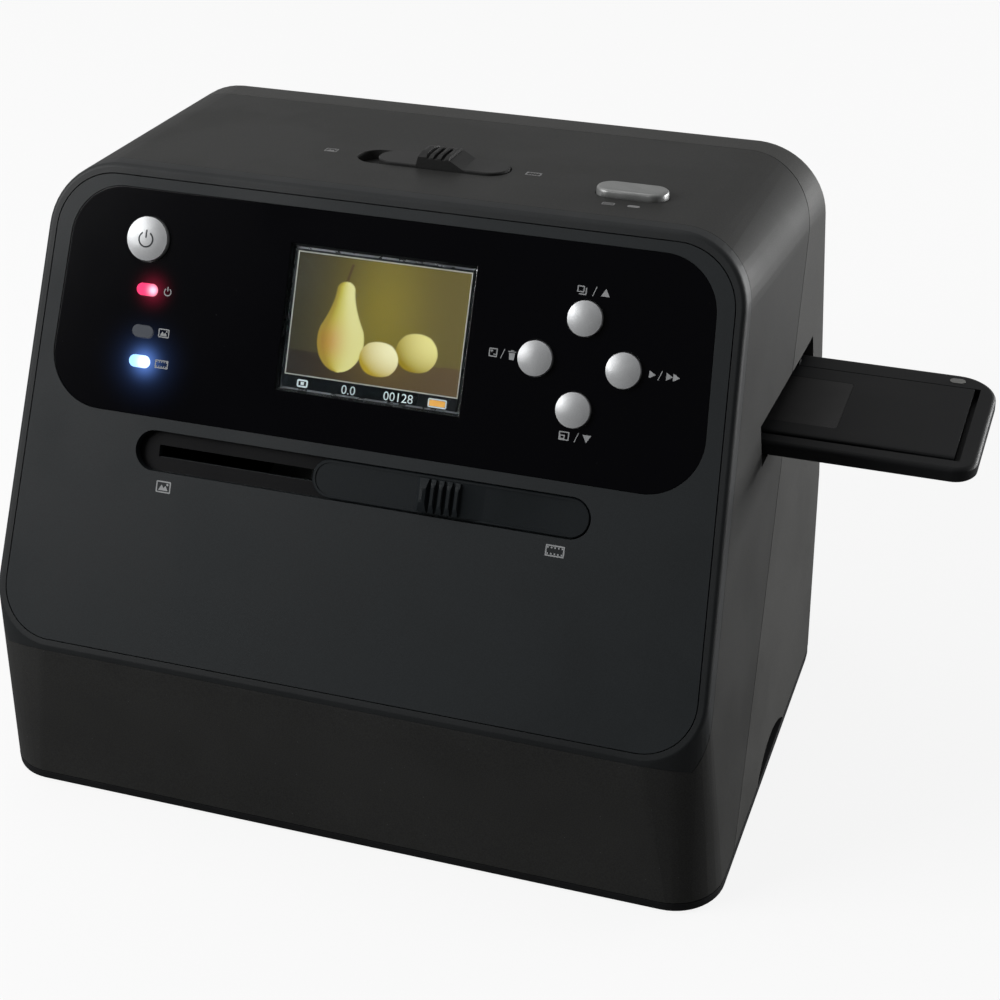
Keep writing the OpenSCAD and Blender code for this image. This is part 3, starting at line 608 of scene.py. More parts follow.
def add_object(name: str, data: bpy.types.ID) -> bpy.types.Object:
    """Makes an object of this data and links it to the scene."""
    made = bpy.data.objects.new(name, data)
    bpy.context.scene.collection.objects.link(made)
    return made


def settled(holder: bpy.types.Object) -> bpy.types.Mesh:
    """Returns an object's mesh with its modifiers applied."""
    return bpy.data.meshes.new_from_object(holder.evaluated_get(bpy.context.evaluated_depsgraph_get()))


@dataclass
class Dresser:
    """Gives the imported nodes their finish, and softens the edges of mouldings. Angles are in degrees."""

    flat: float = 0.4
    corner: float = 32.0
    smooth: float = 30.0
    weight: int = 80
    shade: bpy.types.NodeTree = field(default_factory=soft_shade_tree)

    def stack(self, part: bpy.types.Object, edge: float) -> None:
        """Adds the modifiers that soften a part's edges, in millimetres, and shade it.

        Args:
            part: The part's object.
            edge: The radius of its softened edges in millimetres, or 0 for none.
        """
        weld = part.modifiers.new("weld", "WELD")
        weld.merge_threshold = SAME_PLACE
        flat = part.modifiers.new("flat", "DECIMATE")
        flat.decimate_type = "DISSOLVE"
        flat.angle_limit = math.radians(self.flat)
        if edge > 0:
            bevel = part.modifiers.new("edges", "BEVEL")
            bevel.width = edge * MM
            bevel.segments = 2
            bevel.limit_method = "ANGLE"
            bevel.angle_limit = math.radians(self.corner)
            bevel.use_clamp_overlap = True
        shade = part.modifiers.new("shade", "NODES")
        shade.node_group = self.shade
        set_inputs(shade, angle=math.radians(self.smooth))
        weighted = part.modifiers.new("normals", "WEIGHTED_NORMAL")
        weighted.keep_sharp = True
        weighted.weight = self.weight

    def dress(self, node: str, finish: Finish, edge: float) -> None:
        """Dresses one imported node.

        Args:
            node: The node's name.
            finish: The finish that it gets.
            edge: The radius of its softened edges in millimetres, or 0 for none.
        """
        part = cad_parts[node]
        part.data.materials.clear()
        part.data.materials.append(finish.material())
        self.stack(part, edge)

    def bake(self, data: bpy.types.Mesh, edge: float) -> bpy.types.Mesh:
        """Returns a form with its edges softened and its shading settled.

        Args:
            data: The form.
            edge: The radius of its softened edges in millimetres.

        Returns:
            The softened form.
        """
        holder = add_object("baking", data)
        self.stack(holder, edge)
        baked = settled(holder)
        bpy.data.objects.remove(holder)
        return baked

    def mould(self, data: bpy.types.Mesh, edge: float, name: str, finish: Finish, body: str, slot: str,
              *replaces: str) -> None:
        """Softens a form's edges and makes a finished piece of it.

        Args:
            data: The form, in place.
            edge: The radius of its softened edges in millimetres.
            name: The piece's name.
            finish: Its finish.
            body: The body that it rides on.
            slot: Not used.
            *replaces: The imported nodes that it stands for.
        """
        finish_piece(self.bake(data, edge), name, finish, body, None, replaces)


class Solid:
    """Closed solids on a face, gathered in one mesh."""

    def __init__(self, face: Face) -> None:
        """Starts an empty mesh on the face."""
        self.face = face
        self.mesh = bmesh.new()

    def rings(self, levels: Iterable[tuple[Sequence[Point], float]]) -> "Solid":
        """Adds a solid that runs through outlines at rising heights.

        Args:
            levels: Each level's outline, all with the same number of points, and its height.

        Returns:
            This solid, so that calls can follow each other.
        """
        loops = [[self.mesh.verts.new(self.face.at(x, y, h)) for x, y in outline] for outline, h in levels]
        for lower, upper in zip(loops, loops[1:]):
            for i in range(len(lower)):
                j = (i + 1) % len(lower)
                self.mesh.faces.new((lower[i], lower[j], upper[j], upper[i]))
        self.mesh.faces.new(list(reversed(loops[0])))
        self.mesh.faces.new(loops[-1])
        return self

    def plate(self, outline: Sequence[Point], low: float, high: float) -> "Solid":
        """Adds a flat plate of this outline between two heights."""
        return self.rings([(outline, low), (outline, high)])

    def band(self, outer: Sequence[Point], inner: Sequence[Point], low: float, high: float) -> "Solid":
        """Adds a flat band between two outlines with the same number of points.

        Args:
            outer: The band's outer outline.
            inner: Its inner outline.
            low: Its underside's height.
            high: Its top's height.

        Returns:
            This solid, so that calls can follow each other.
        """
        m = self.mesh
        loops = [[m.verts.new(self.face.at(x, y, h)) for x, y in outline]
                 for outline, h in ((outer, low), (outer, high), (inner, high), (inner, low))]
        for a, b in zip(loops, loops[1:] + loops[:1]):
            for i in range(len(a)):
                j = (i + 1) % len(a)
                m.faces.new((a[i], a[j], b[j], b[i]))
        return self

    def data(self, name: str) -> bpy.types.Mesh:
        """Returns the gathered solids as a mesh.

        Args:
            name: The mesh's name.

        Returns:
            The mesh.
        """
        data = bpy.data.meshes.new(name)
        self.mesh.to_mesh(data)
        self.mesh.free()
        return data

    def piece(self, name: str, finish: Finish, body: str, slot: str, angle: float = 35.0,
              replaces: Sequence[str] = ()) -> bpy.types.Object:
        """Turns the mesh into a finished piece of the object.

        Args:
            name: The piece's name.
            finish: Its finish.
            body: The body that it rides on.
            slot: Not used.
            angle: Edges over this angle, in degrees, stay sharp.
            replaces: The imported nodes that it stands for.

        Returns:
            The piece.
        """
        return finish_piece(self.data(name), name, finish, body, angle, replaces)


def finish_piece(data: bpy.types.Mesh, name: str, finish: Finish, body: str,
                 angle: Optional[float] = 35.0, replaces: Sequence[str] = ()) -> bpy.types.Object:
    """Makes an object of a finished mesh, gives it its finish and lets it ride on its body.

    Args:
        data: The mesh, in place.
        name: The piece's name.
        finish: Its finish.
        body: The body that it rides on.
        angle: Edges over this angle, in degrees, stay sharp, or None where the mesh is already shaded.
        replaces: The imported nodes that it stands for.

    Returns:
        The piece.
    """
    data.materials.clear()
    data.materials.append(finish.material())
    if angle is not None:
        for polygon in data.polygons:
            polygon.use_smooth = True
        data.set_sharp_from_angle(angle=math.radians(angle))
    made = add_object(name, data)
    if replaces:
        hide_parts(*replaces)
    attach(made, body)
    LOG.info("piece %s: %d faces on %s", name, len(data.polygons), body)
    return made


# ---------------------------------------------------------------- outlines, in millimetres


def circle(x: float, y: float, r: float, count: int = 32, start: float = 0.0,
           end: float = 360.0) -> list[Point]:
    """Returns points on a circle or, where it doesn't close, on an arc with both its ends.

    Args:
        x: The centre's place across.
        y: The centre's place along.
        r: The radius.
        count: How many points.
        start: Where it starts, in degrees.
        end: Where it ends, in degrees.

    Returns:
        The points.
    """
    closed = abs(end - start) >= 360
    steps = count if closed else count - 1
    return [(x + r * math.cos(math.radians(start + (end - start) * i / steps)),
             y + r * math.sin(math.radians(start + (end - start) * i / steps))) for i in range(count)]


def cornered(x: float, y: float, w: float, h: float, r_front: float, r_back: float, inset: float,
             count: int) -> list[Point]:
    """Returns a rectangle with round corners that is drawn in from its outline.

    Args:
        x: Its centre across.
        y: Its centre along.
        w: Its width, before it is drawn in.
        h: Its height, before it is drawn in.
        r_front: The radius of its two lower corners, before it is drawn in.
        r_back: The radius of its two upper corners, before it is drawn in.
        inset: How far it is drawn in.
        count: The points of each corner.

    Returns:
        The outline, anticlockwise.
    """
    points: list[Point] = []
    for k, (sx, sy) in enumerate(((1, 1), (-1, 1), (-1, -1), (1, -1))):
        r = r_back if sy > 0 else r_front
        points += circle(x + sx * (w / 2 - r), y + sy * (h / 2 - r), r - inset, count, 90 * k, 90 * k + 90)
    return points


def rounded(x: float, y: float, w: float, h: float, r: float, count: int = 6) -> list[Point]:
    """Returns a rectangle about its centre with round corners, anticlockwise."""
    return cornered(x, y, w, h, r, r, 0.0, count)


def stadium(x: float, y: float, w: float, h: float, count: int = 20) -> list[Point]:
    """Returns a bar with round ends about its centre."""
    return rounded(x, y, w, h, h / 2 - 0.001, count)


def box(x0: float, x1: float, y0: float, y1: float) -> list[Point]:
    """Returns a rectangle between two places across and two places along."""
    return [(x0, y0), (x1, y0), (x1, y1), (x0, y1)]


def arc_band(x: float, y: float, r: float, t: float, start: float, end: float,
             count: int = 28) -> list[Point]:
    """Returns the outline of a bent bar of thickness t along an arc of radius r."""
    return circle(x, y, r + t / 2, count, start, end) + circle(x, y, r - t / 2, count, end, start)


def bar(a: Point, b: Point, t: float) -> list[Point]:
    """Returns a straight bar of thickness t from a to b, anticlockwise.

    Args:
        a: The middle of its first end.
        b: The middle of its second end.
        t: Its thickness.

    Returns:
        The outline.
    """
    dx, dy = b[0] - a[0], b[1] - a[1]
    k = t / 2 / math.hypot(dx, dy)
    nx, ny = -dy * k, dx * k
    return [(a[0] - nx, a[1] - ny), (b[0] - nx, b[1] - ny), (b[0] + nx, b[1] + ny), (a[0] + nx, a[1] + ny)]


def trapezoid(half: float, taper: float, low: float, high: float, r_low: float, r_high: float,
              count: int = 14) -> list[Point]:
    """Returns the outline of a front that closes in as it rises, with round corners.

    Args:
        half: Half its width at height 0.
        taper: How much each side closes in per unit of height.
        low: The height of its lower edge.
        high: The height of its upper edge.
        r_low: The radius of the lower corners.
        r_high: The radius of the upper corners.
        count: The points of each corner.

    Returns:
        The outline, anticlockwise.
    """
    turn = math.degrees(math.atan(taper))
    slant = math.hypot(1, taper)
    x_low = half - taper * (low + r_low) - r_low * slant
    x_high = half - taper * (high - r_high) - r_high * slant
    return (circle(x_low, low + r_low, r_low, count, -90, turn)
            + circle(x_high, high - r_high, r_high, count, turn, 90)
            + circle(-x_high, high - r_high, r_high, count, 90, 180 - turn)
            + circle(-x_low, low + r_low, r_low, count, 180 - turn, 270))


# ---------------------------------------------------------------- closed forms


def hull(points: Iterable[Vector]) -> bpy.types.Mesh:
    """Returns the tightest closed convex form round the points, which are in millimetres.

    Args:
        points: The points.

    Returns:
        The closed form.
    """
    made = bmesh.new()
    for point in points:
        made.verts.new(point * MM)
    bmesh.ops.remove_doubles(made, verts=made.verts, dist=SAME_PLACE)
    bmesh.ops.convex_hull(made, input=made.verts)
    bmesh.ops.delete(made, geom=[v for v in made.verts if not v.link_faces], context="VERTS")
    bmesh.ops.dissolve_limit(made, angle_limit=math.radians(0.1), verts=made.verts, edges=made.edges)
    bmesh.ops.recalc_face_normals(made, faces=made.faces)
    data = bpy.data.meshes.new("hull")
    made.to_mesh(data)
    made.free()
    return data


FAR = 150.0  # beyond the housing on every side, in millimetres


class Step(Enum):
    """What a tool does to the form that is carved."""

    CUT = "DIFFERENCE"
    JOIN = "UNION"
    KEEP = "INTERSECT"


def carve(form: bpy.types.Mesh, *steps: tuple[Step, bpy.types.Mesh]) -> bpy.types.Mesh:
    """Cuts, joins or keeps parts of a closed form with other closed forms, one after another.

    Args:
        form: The form to start from.
        *steps: What each tool does, and the tool.

    Returns:
        The carved form.
    """
    holders = [add_object("carving", data) for data in (form, *(tool for _, tool in steps))]
    for (step, _), tool in zip(steps, holders[1:]):
        made = holders[0].modifiers.new("step", "BOOLEAN")
        made.operation, made.solver, made.object = step.value, "EXACT", tool
    data = settled(holders[0])
    for holder in holders:
        bpy.data.objects.remove(holder)
    return data


def prism(face: Face, outline: Sequence[Point], low: float, high: float) -> bpy.types.Mesh:
    """Returns the closed form of an outline on a face between two heights."""
    return Solid(face).plate(outline, low, high).data("prism")


def slab(face: Face, low: float, high: float, y0: float = 0.0, y1: float = 200.0) -> bpy.types.Mesh:
    """Returns a cutter between two heights over a face, wider than the housing.

    Args:
        face: The face that it lies on.
        low: Its lower side's height above the face.
        high: Its upper side's height above the face.
        y0: Its lower end along the face.
        y1: Its upper end along the face.

    Returns:
        The closed form.
    """
    return prism(face, box(-FAR, FAR, y0, y1), low, high)


def packed_form(node: str) -> bpy.types.Mesh:
    """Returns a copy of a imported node's mesh with its loose triangles merged.

    Args:
        node: The node's name.

    Returns:
        The closed form.
    """
    made = bmesh.new()
    made.from_mesh(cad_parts[node].data)
    bmesh.ops.remove_doubles(made, verts=made.verts, dist=SAME_PLACE)
    data = bpy.data.meshes.new("packed")
    made.to_mesh(data)
    made.free()
    return data


def repeat(form: bpy.types.Mesh, finish: Finish, count: int, step: Vector, rows: int = 1,
           row_step: Vector = Vector((0, 0, 0))) -> bpy.types.Mesh:
    """Repeats a form with the grid tree.

    Args:
        form: The form, in its first place.
        finish: The finish that all of them get.
        count: How many stand in a row.
        step: The way from one to the next, in millimetres.
        rows: How many rows there are.
        row_step: The way from one row to the next, in millimetres.

    Returns:
        One mesh of all of them.
    """
    tree = bpy.data.node_groups.get("repeat_grid") or repeat_tree()
    holder = add_object("repeating", form)
    made = holder.modifiers.new("grid", "NODES")
    made.node_group = tree
    set_inputs(made, count=count, step=tuple(step * MM), rows=rows, row_step=tuple(row_step * MM),
               material=finish.material())
    data = settled(holder)
    bpy.data.objects.remove(holder)
    return data


@dataclass(frozen=True)
class Grip:
    """A ribbed finger grip: a steep end, a hollow with ribs and a long ramp, domed across.

    The hollow, the dome's rise and the ribs' tops are shares of the grip's height, and the crest is drawn
    by places from the steep end and such shares. A rib's half thickness is a share of the pitch. The rest
    is in millimetres.
    """

    length: float
    width: float
    height: float
    steep: float
    ramp: float
    ribs: int
    pitch: float = 2.15
    foot: float = 0.6
    crest_foot: float = 1.0
    crest: tuple[Point, ...] = ((0.35, 0.94), (-0.5, 1.0), (-1.3, 0.95))
    hollow: float = 0.6
    dome: float = 0.3
    rib_tops: Point = (0.84, 0.93)
    rib_half: float = 0.28
    rib_sunk: float = 0.35
    rib_inset: float = 0.04

    def form(self, face: Face, x: float, y: float, base: float) -> bpy.types.Mesh:
        """Returns the grip on a face.

        Args:
            face: The face that it stands on.
            x: Its centre across.
            y: Its centre along.
            base: The height of its foot.

        Returns:
            The closed form.
        """
        length, h, half = self.length, self.height, self.width / 2
        low = self.hollow * h
        profile = [(0.0, -self.foot), (length, -self.foot), (length, 0.0), (length - self.ramp, low),
                   (self.steep + self.crest_foot, low),
                   *((self.steep + past, share * h) for past, share in self.crest), (0.0, 0.0)]
        side = face.lengthways(x - length / 2, y)
        body = prism(side, [(a, b + base) for a, b in profile], -half, half)
        ribs = repeat(self.rib(side, base), KNOB, self.ribs, face.across * self.pitch)
        rise = self.dome * h
        radius = (half ** 2 + rise ** 2) / (2 * rise)
        arch = circle(0, base + h - radius, radius, 60, 10, 170)
        dome = prism(face.endways(x, y), arch + [(-2 * half, base - h), (2 * half, base - h)],
                     -length, length)
        return carve(body, (Step.JOIN, ribs), (Step.KEEP, dome))

    def rib(self, side: Face, base: float) -> bpy.types.Mesh:
        """Returns the first rib, with a bevelled top, a little narrower than the grip's body.

        Args:
            side: The upright face that it is drawn on.
            base: The height of the grip's foot.

        Returns:
            The closed form.
        """
        middle = self.steep + self.crest_foot + 0.5 * self.pitch
        t = self.rib_half * self.pitch
        sunk = base - self.rib_sunk
        edge, crest = (base + share * self.height for share in self.rib_tops)
        outline = [(middle - t, sunk), (middle + t, sunk), (middle + t, edge), (middle + 0.5 * t, crest),
                   (middle - 0.5 * t, crest), (middle - t, edge)]
        half = self.width / 2
        return prism(side, outline, self.rib_inset - half, half - self.rib_inset)


def plate_outline(inset: float) -> list[Point]:
    """Returns the outline of the front plate, drawn in by the inset."""
    half, low, high, r_low, r_high = 96.3, 3.2, 128.2, 14.0, 16.0
    return trapezoid(half - inset, FRONT_TAPER, low + inset, high - inset, r_low - inset, r_high - inset)


SCREW_PLACES: tuple[Point, ...] = ((94.4, -63.2), (-94.4, -63.2), (92.0, 44.0), (-92.0, 44.0))
SCREW_RECESS = 3.4
SCREW_SEAT = 2.4


@dataclass(frozen=True)
class Envelope:
    """The housing's outer form, in millimetres: a base, a leaning front and an upright back.

    The front is given by its width at the foot, how much each side closes in as it rises, and its length.
    The fold below the front and the bend in the back are each given by their place along y, their width,
    their depth and their height, and the back by its width, its place along y and its top.
    """

    base: Point = (BASE_WIDTH, BASE_DEPTH)
    base_levels: Point = (1.0, 1.2)
    front_corner: float = 13.6
    back_corner: float = 29.0
    front: tuple[float, float, float] = (198.6, FRONT_TAPER, 131.5)
    fold_corner: float = 17.0
    top_corner: float = 19.0
    seam: float = 4.5
    lap: float = 0.2
    rim: float = 1.6
    rim_depth: float = 1.9
    fold: Quad = (-41.6, 198.0, 59.3, 46.2)
    bend: Quad = (41.6, 200.6, 60.0, 55.0)
    bend_corner: float = 12.0
    back: tuple[float, float, float] = (192.7, 67.6, 153.5)
    back_round: float = 20.0
    edge: float = 4.0
    wall: float = 2.4

    def front_outline(self, inset: float) -> list[Point]:
        """Returns the outline of the leaning front, drawn in by the inset."""
        width, taper, length = self.front
        return trapezoid(width / 2 - inset, taper, inset, length - inset, self.fold_corner - inset,
                         self.top_corner - inset)

    def base_outline(self, inset: float) -> list[Point]:
        """Returns the outline of the base, drawn in by the inset, with rounder corners at the back."""
        return cornered(0, 0, *self.base, self.front_corner, self.back_corner, inset, 14)

    def front_levels(self, inset: float, past: float) -> list[tuple[float, float]]:
        """Returns the height and the inset of each outline of the front, with a rounded rim at inset 0.

        Args:
            inset: How far the form is drawn in.
            past: How far a drawn-in form runs on past the seam.

        Returns:
            The heights and insets, from the seam up.
        """
        if inset > 0:
            return [(-self.seam - self.lap, inset), (-self.seam + past, inset)]
        turns = [math.radians(15 * i) for i in range(7)]
        return [(-self.seam - self.lap, 0.0)] + [
            (-self.rim_depth + self.rim_depth * math.sin(t), self.rim * (1 - math.cos(t))) for t in turns]

    def form(self, inset: float = 0.0, past: float = 0.0) -> bpy.types.Mesh:
        """Returns the whole form.

        Args:
            inset: How far it is drawn in.
            past: How far a drawn-in form runs on past the front's seam.

        Returns:
            The closed form.
        """
        points = [Vector((x, y, z)) for x, y in self.base_outline(inset) for z in self.base_levels]
        for (y, w, d, z), r in ((self.fold, self.fold_corner), (self.bend, self.bend_corner)):
            points += [Vector((x, v, z + up - (inset if y < 0 else 0.0))) for up in (0.0, self.lap)
                       for x, v in rounded(0, y, w - 2 * inset, d - 2 * inset, r - inset, 12)]
        for height, drawn in self.front_levels(inset, past):
            points += [FRONT.at(u, v, height) / MM for u, v in self.front_outline(drawn)]
        return hull(points + self.back_corners(inset))

    def back_corners(self, inset: float) -> list[Vector]:
        """Returns points on the two round upper corners of the back, which have a rounded edge.

        Args:
            inset: How far the form is drawn in.

        Returns:
            The points, in millimetres.
        """
        points: list[Vector] = []
        width, y, top = self.back
        ring, tube = self.back_round - self.edge, max(self.edge - inset, 0.05)
        for m in (-1, 1):
            middle = Vector((m * (width / 2 - self.back_round), y, top - self.back_round))
            for a in (math.radians(-10 + 110 * i / 18) for i in range(19)):
                for b in (math.radians(-90 + 15 * j) for j in range(13)):
                    reach = ring + tube * math.cos(b)
                    points.append(middle + Vector((m * reach * math.cos(a), tube * math.sin(b),
                                                   reach * math.sin(a))))
        return points


@dataclass
class Shells:
    """The moulded shells of the housing: the front housing, the bezel, the rear cover and the base.

    A slot or a hole with round ends is given by its centre, its width, its height and its corners' radius,
    a straight one by its two ends across and its two ends along, and a socket by its place across, its
    width and its height. The tongue's two values are how far it lies inside the wall.
    """

    envelope: Envelope = field(default_factory=Envelope)
    seam_y: float = -49.6
    seam_tilt: float = 35.4
    notch_place: Point = (-4.6, -15.2)
    notch_r: float = 24.6
    notch_reach: Point = (84.0, 124.0)
    tray_slot: tuple[Point, ...] = ((-8.1, 98.45), (51.8, 98.45), (51.6, 105.25), (-8.1, 110.35))
    floor_levels: Point = (1.0, 3.35)
    floor_cut: float = 3.7
    print_box: Quad = (-76.0, 76.0, -41.6, 60.4)
    print_wall: float = 4.5
    print_seat: float = 1.8
    top_slot: tuple[float, float, float, float, float] = (1.2, 25.2, 42.4, 11.8, 5.899)
    cam_slot: Quad = (-9.8, 12.2, 22.9, 27.5)
    key_hole: tuple[float, float, float, float, float] = (57.2, 18.0, 19.2, 8.8, 4.399)
    top_pad: Quad = (-23.0, 25.4, 16.3, 34.1)
    pad_levels: Point = (-4.0, -1.0)
    slot_depth: float = 2.6
    cam_depth: float = 10.0
    key_depth: float = 5.0
    seam_gap: float = 0.12
    pocket_gap: float = 0.25
    pocket_depth: float = 2.45
    ledge: float = 3.0
    cover_gap: float = 0.45
    tongue: Point = (0.15, 1.5)
    tongue_reach: float = 4.0
    notch_wall: float = 1.6
    sockets: tuple[tuple[float, float, float], ...] = ((-34, 26, 3.4), (26, 8.4, 4.4), (48, 8, 8))
    socket_height: float = 45.0
    socket_gap: float = 0.6

    def behind(self, back: float) -> bpy.types.Mesh:
        """Returns everything behind the seam between housing and rear cover, moved back a little."""
        k = math.tan(math.radians(self.seam_tilt))
        y = self.seam_y + back
        return prism(SIDE, [(y - 41 * k, -40), (200, -40), (200, 240), (y + 239 * k, 240)], -FAR, FAR)

    def notches(self, grown: float) -> tuple[bpy.types.Mesh, bpy.types.Mesh]:
        """Returns the finger notches of both sides, grown a little."""
        outline = circle(*self.notch_place, self.notch_r + grown, 96)
        near, far = self.notch_reach
        return prism(SIDE, outline, near - grown, far), prism(SIDE, outline, -far, grown - near)

    def common(self) -> list[tuple[Step, bpy.types.Mesh]]:
        """Returns the cuts that the housing and the rear cover share: the floor and the tray's slot."""
        return [(Step.CUT, slab(LEVEL, -20, self.floor_cut, -FAR, FAR)),
                (Step.CUT, prism(SIDE, self.tray_slot, -FAR, FAR))]

    def housing(self) -> bpy.types.Mesh:
        """Returns the front housing with its openings for the slider and the key on the top.

        Returns:
            The closed form.
        """
        e = self.envelope
        return carve(
            e.form(), (Step.CUT, e.form(e.wall, 1)),
            (Step.JOIN, prism(TOP, box(*self.top_pad), *self.pad_levels)),
            (Step.CUT, self.behind(0)),
            (Step.CUT, slab(FRONT, -e.seam, 60, -0.05)),
            (Step.CUT, prism(TOP, rounded(*self.top_slot, 14), -self.slot_depth, 5)),
            (Step.CUT, prism(TOP, box(*self.cam_slot), -self.cam_depth, 2)),
            (Step.CUT, prism(TOP, rounded(*self.key_hole, 14), -self.key_depth, 5)), *self.common())

    def bezel(self) -> bpy.types.Mesh:
        """Returns the bezel with its rounded rim and the pocket that takes the front plate.

        Returns:
            The closed form.
        """
        e = self.envelope
        return carve(
            e.form(), (Step.KEEP, slab(FRONT, -e.seam + self.seam_gap, 60)),
            (Step.CUT, prism(FRONT, plate_outline(-self.pocket_gap), -self.pocket_depth, 10)),
            (Step.CUT, prism(FRONT, e.front_outline(e.wall + self.ledge), -20, 10)))

    def cover(self) -> bpy.types.Mesh:
        """Returns the rear cover with its tongue, finger notches and socket openings.

        Returns:
            The closed form.
        """
        e = self.envelope
        outer, inner = self.tongue
        tongue = carve(
            e.form(e.wall + outer), (Step.KEEP, self.behind(-self.tongue_reach)),
            (Step.CUT, e.form(e.wall + inner)), (Step.CUT, self.behind(self.tongue_reach)))
        grown = self.notches(self.notch_wall)
        lining = carve(e.form(1), (Step.KEEP, carve(grown[0], (Step.JOIN, grown[1]))))
        openings = [(Step.CUT, prism(BACK, rounded(-x, self.socket_height, w + self.socket_gap,
                                                   h + self.socket_gap, 0.4, 4), -8, 10))
                    for x, w, h in self.sockets]
        return carve(e.form(), (Step.KEEP, self.behind(self.cover_gap)), (Step.CUT, e.form(e.wall)),
                     (Step.JOIN, tongue), (Step.JOIN, lining),
                     *((Step.CUT, notch) for notch in self.notches(0)), *self.common(), *openings)

    def floor(self) -> bpy.types.Mesh:
        """Returns the base plate with its open print window and the screws' recesses.

        Returns:
            The closed form.
        """
        e = self.envelope
        x0, x1, y0, y1 = self.print_box

        def grown(t: float) -> list[Point]:
            """Returns the print window's outline, grown on all sides."""
            return box(x0 - t, x1 + t, y0 - t, y1 + t)

        recesses = [(Step.CUT, prism(LEVEL, circle(x, y, SCREW_RECESS, 24), -1, SCREW_SEAT))
                    for x, y in SCREW_PLACES]
        return carve(prism(LEVEL, e.base_outline(0.05), *self.floor_levels),
                     (Step.JOIN, prism(LEVEL, grown(self.print_wall), 1.1, 4.6)),
                     (Step.CUT, prism(LEVEL, grown(0.0), -5, 20)),
                     (Step.CUT, prism(LEVEL, grown(self.print_seat), 3.4, 9)), *recesses)

    def build(self) -> None:
        """Builds the four shells."""
        dresser = Dresser()
        for name, data, finish, node, slot, edge in (
                ("housing_shell", self.housing(), BODY, "main_housing", "body", 0.3),
                ("bezel_shell", self.bezel(), RIM, "front_bezel", "front", 0.14),
                ("cover_shell", self.cover(), COVER, "rear_cover", "body", 0.3),
                ("base_shell", self.floor(), BASE, "base_plate", "body", 0.35)):
            dresser.mould(data, edge, name, finish, "housing", slot, node)


@dataclass
class FilmTray:
    """The film tray: a frame with a rounded rim, and a lid that lies in it with five windows.

    The bed and the lid are given by their two ends across and their two ends along, the rim and the lid's
    bevel by insets and heights, and the first knuckle by how far behind the lid it lies, its height, its
    radius and where it starts. The mark is given by its centre, its width and its height.
    """

    centre: Point = (19.0, 21.3)
    size: Point = (262.0, 48.4)
    front_corner: float = 6.0
    back_corner: float = 11.0
    low: float = 98.9
    rim: tuple[Point, ...] = (
        (0.0, 101.7), (0.12, 102.1), (0.4, 102.45), (0.8, 102.75), (1.3, 102.9))
    bed: Quad = (-106.2, 145.5, 1.4, 38.6)
    bed_floor: float = 101.35
    channel_floor: float = 100.1
    lid: Quad = (-105.5, 144.0, 2.8, 38.2)
    lid_levels: Point = (101.4, 103.0)
    lid_bevel: tuple[Point, ...] = ((1.4, 103.0), (0.4, 102.9), (0.0, 102.55))
    window: Point = (36.0, 24.0)
    first_window: Point = (-57.0, 20.4)
    window_step: float = 38.0
    windows: int = 5
    knuckle: Quad = (1.5, 102.5, 1.45, -87.0)
    knuckle_length: float = 12.0
    knuckle_step: float = 57.3
    knuckles: int = 4
    film_levels: Point = (102.3, 102.96)
    mark: Quad = (139.0, 41.6, 4.1, 2.4)
    mark_levels: Point = (102.84, 102.98)
    edge: float = 0.12

    def openings(self, grown: float, low: float, high: float) -> bpy.types.Mesh:
        """Returns the forms of all the windows, grown a little, between two heights."""
        (x, y), (w, h) = self.first_window, self.window
        one = prism(LEVEL, rounded(x, y, w + 2 * grown, h + 2 * grown, 1.0 + grown, 5), low, high)
        return repeat(one, FILM, self.windows, Vector((self.window_step, 0, 0)))

    def frame(self) -> bpy.types.Mesh:
        """Returns the frame with its bed and its windows.

        Returns:
            The closed form.
        """
        levels = [(0.5, self.low), (0.0, self.low + 0.5), *self.rim]
        form = Solid(LEVEL).rings([
            (cornered(*self.centre, *self.size, self.front_corner, self.back_corner, inset, 12), z)
            for inset, z in levels]).data("frame")
        x0, x1, y0, y1 = self.bed
        channels = (box(x0, x1, y0, self.lid[2] + 0.1), box(self.lid[1] - 0.1, x1, y0, y1))
        return carve(form, (Step.CUT, prism(LEVEL, box(*self.bed), self.bed_floor, 110)),
                     *((Step.CUT, prism(LEVEL, channel, self.channel_floor, 105)) for channel in channels),
                     (Step.CUT, self.openings(-1.0, 90, 110)))

    def cover(self) -> bpy.types.Mesh:
        """Returns the lid with its bevelled front edge, its windows and its knuckles.

        Returns:
            The closed form.
        """
        x0, x1, y0, y1 = self.lid
        low, high = self.lid_levels
        profile = [(y0, low), (y1, low), (y1, high), *((y0 + past, z) for past, z in self.lid_bevel)]
        back, z, radius, start = self.knuckle
        knuckle = prism(SIDE, circle(y1 + back, z, radius, 20), start, start + self.knuckle_length)
        knuckles = repeat(knuckle, TRAY_BLACK, self.knuckles, Vector((self.knuckle_step, 0, 0)))
        return carve(prism(SIDE, profile, x0, x1), (Step.CUT, self.openings(0.0, 90, 110)),
                     (Step.JOIN, knuckles))

    def build(self) -> None:
        """Builds the frame, the lid, the film in its windows and the mark."""
        dresser = Dresser()
        dresser.mould(self.frame(), self.edge, "tray_frame", TRAY_BLACK, "film_tray", "film",
                      "film_tray_base")
        dresser.mould(self.cover(), self.edge, "tray_cover", TRAY_BLACK, "film_tray", "film", "film_tray_lid",
                      "tray_hinge_pin")
        finish_piece(self.openings(-0.02, *self.film_levels), "tray_film", FILM, "film_tray", 35,
                     ("film_strip",))
        Solid(LEVEL).plate(stadium(*self.mark), *self.mark_levels).piece(
            "tray_spot", TRAY_SPOT, "film_tray", "silver", replaces=("tray_mark",))


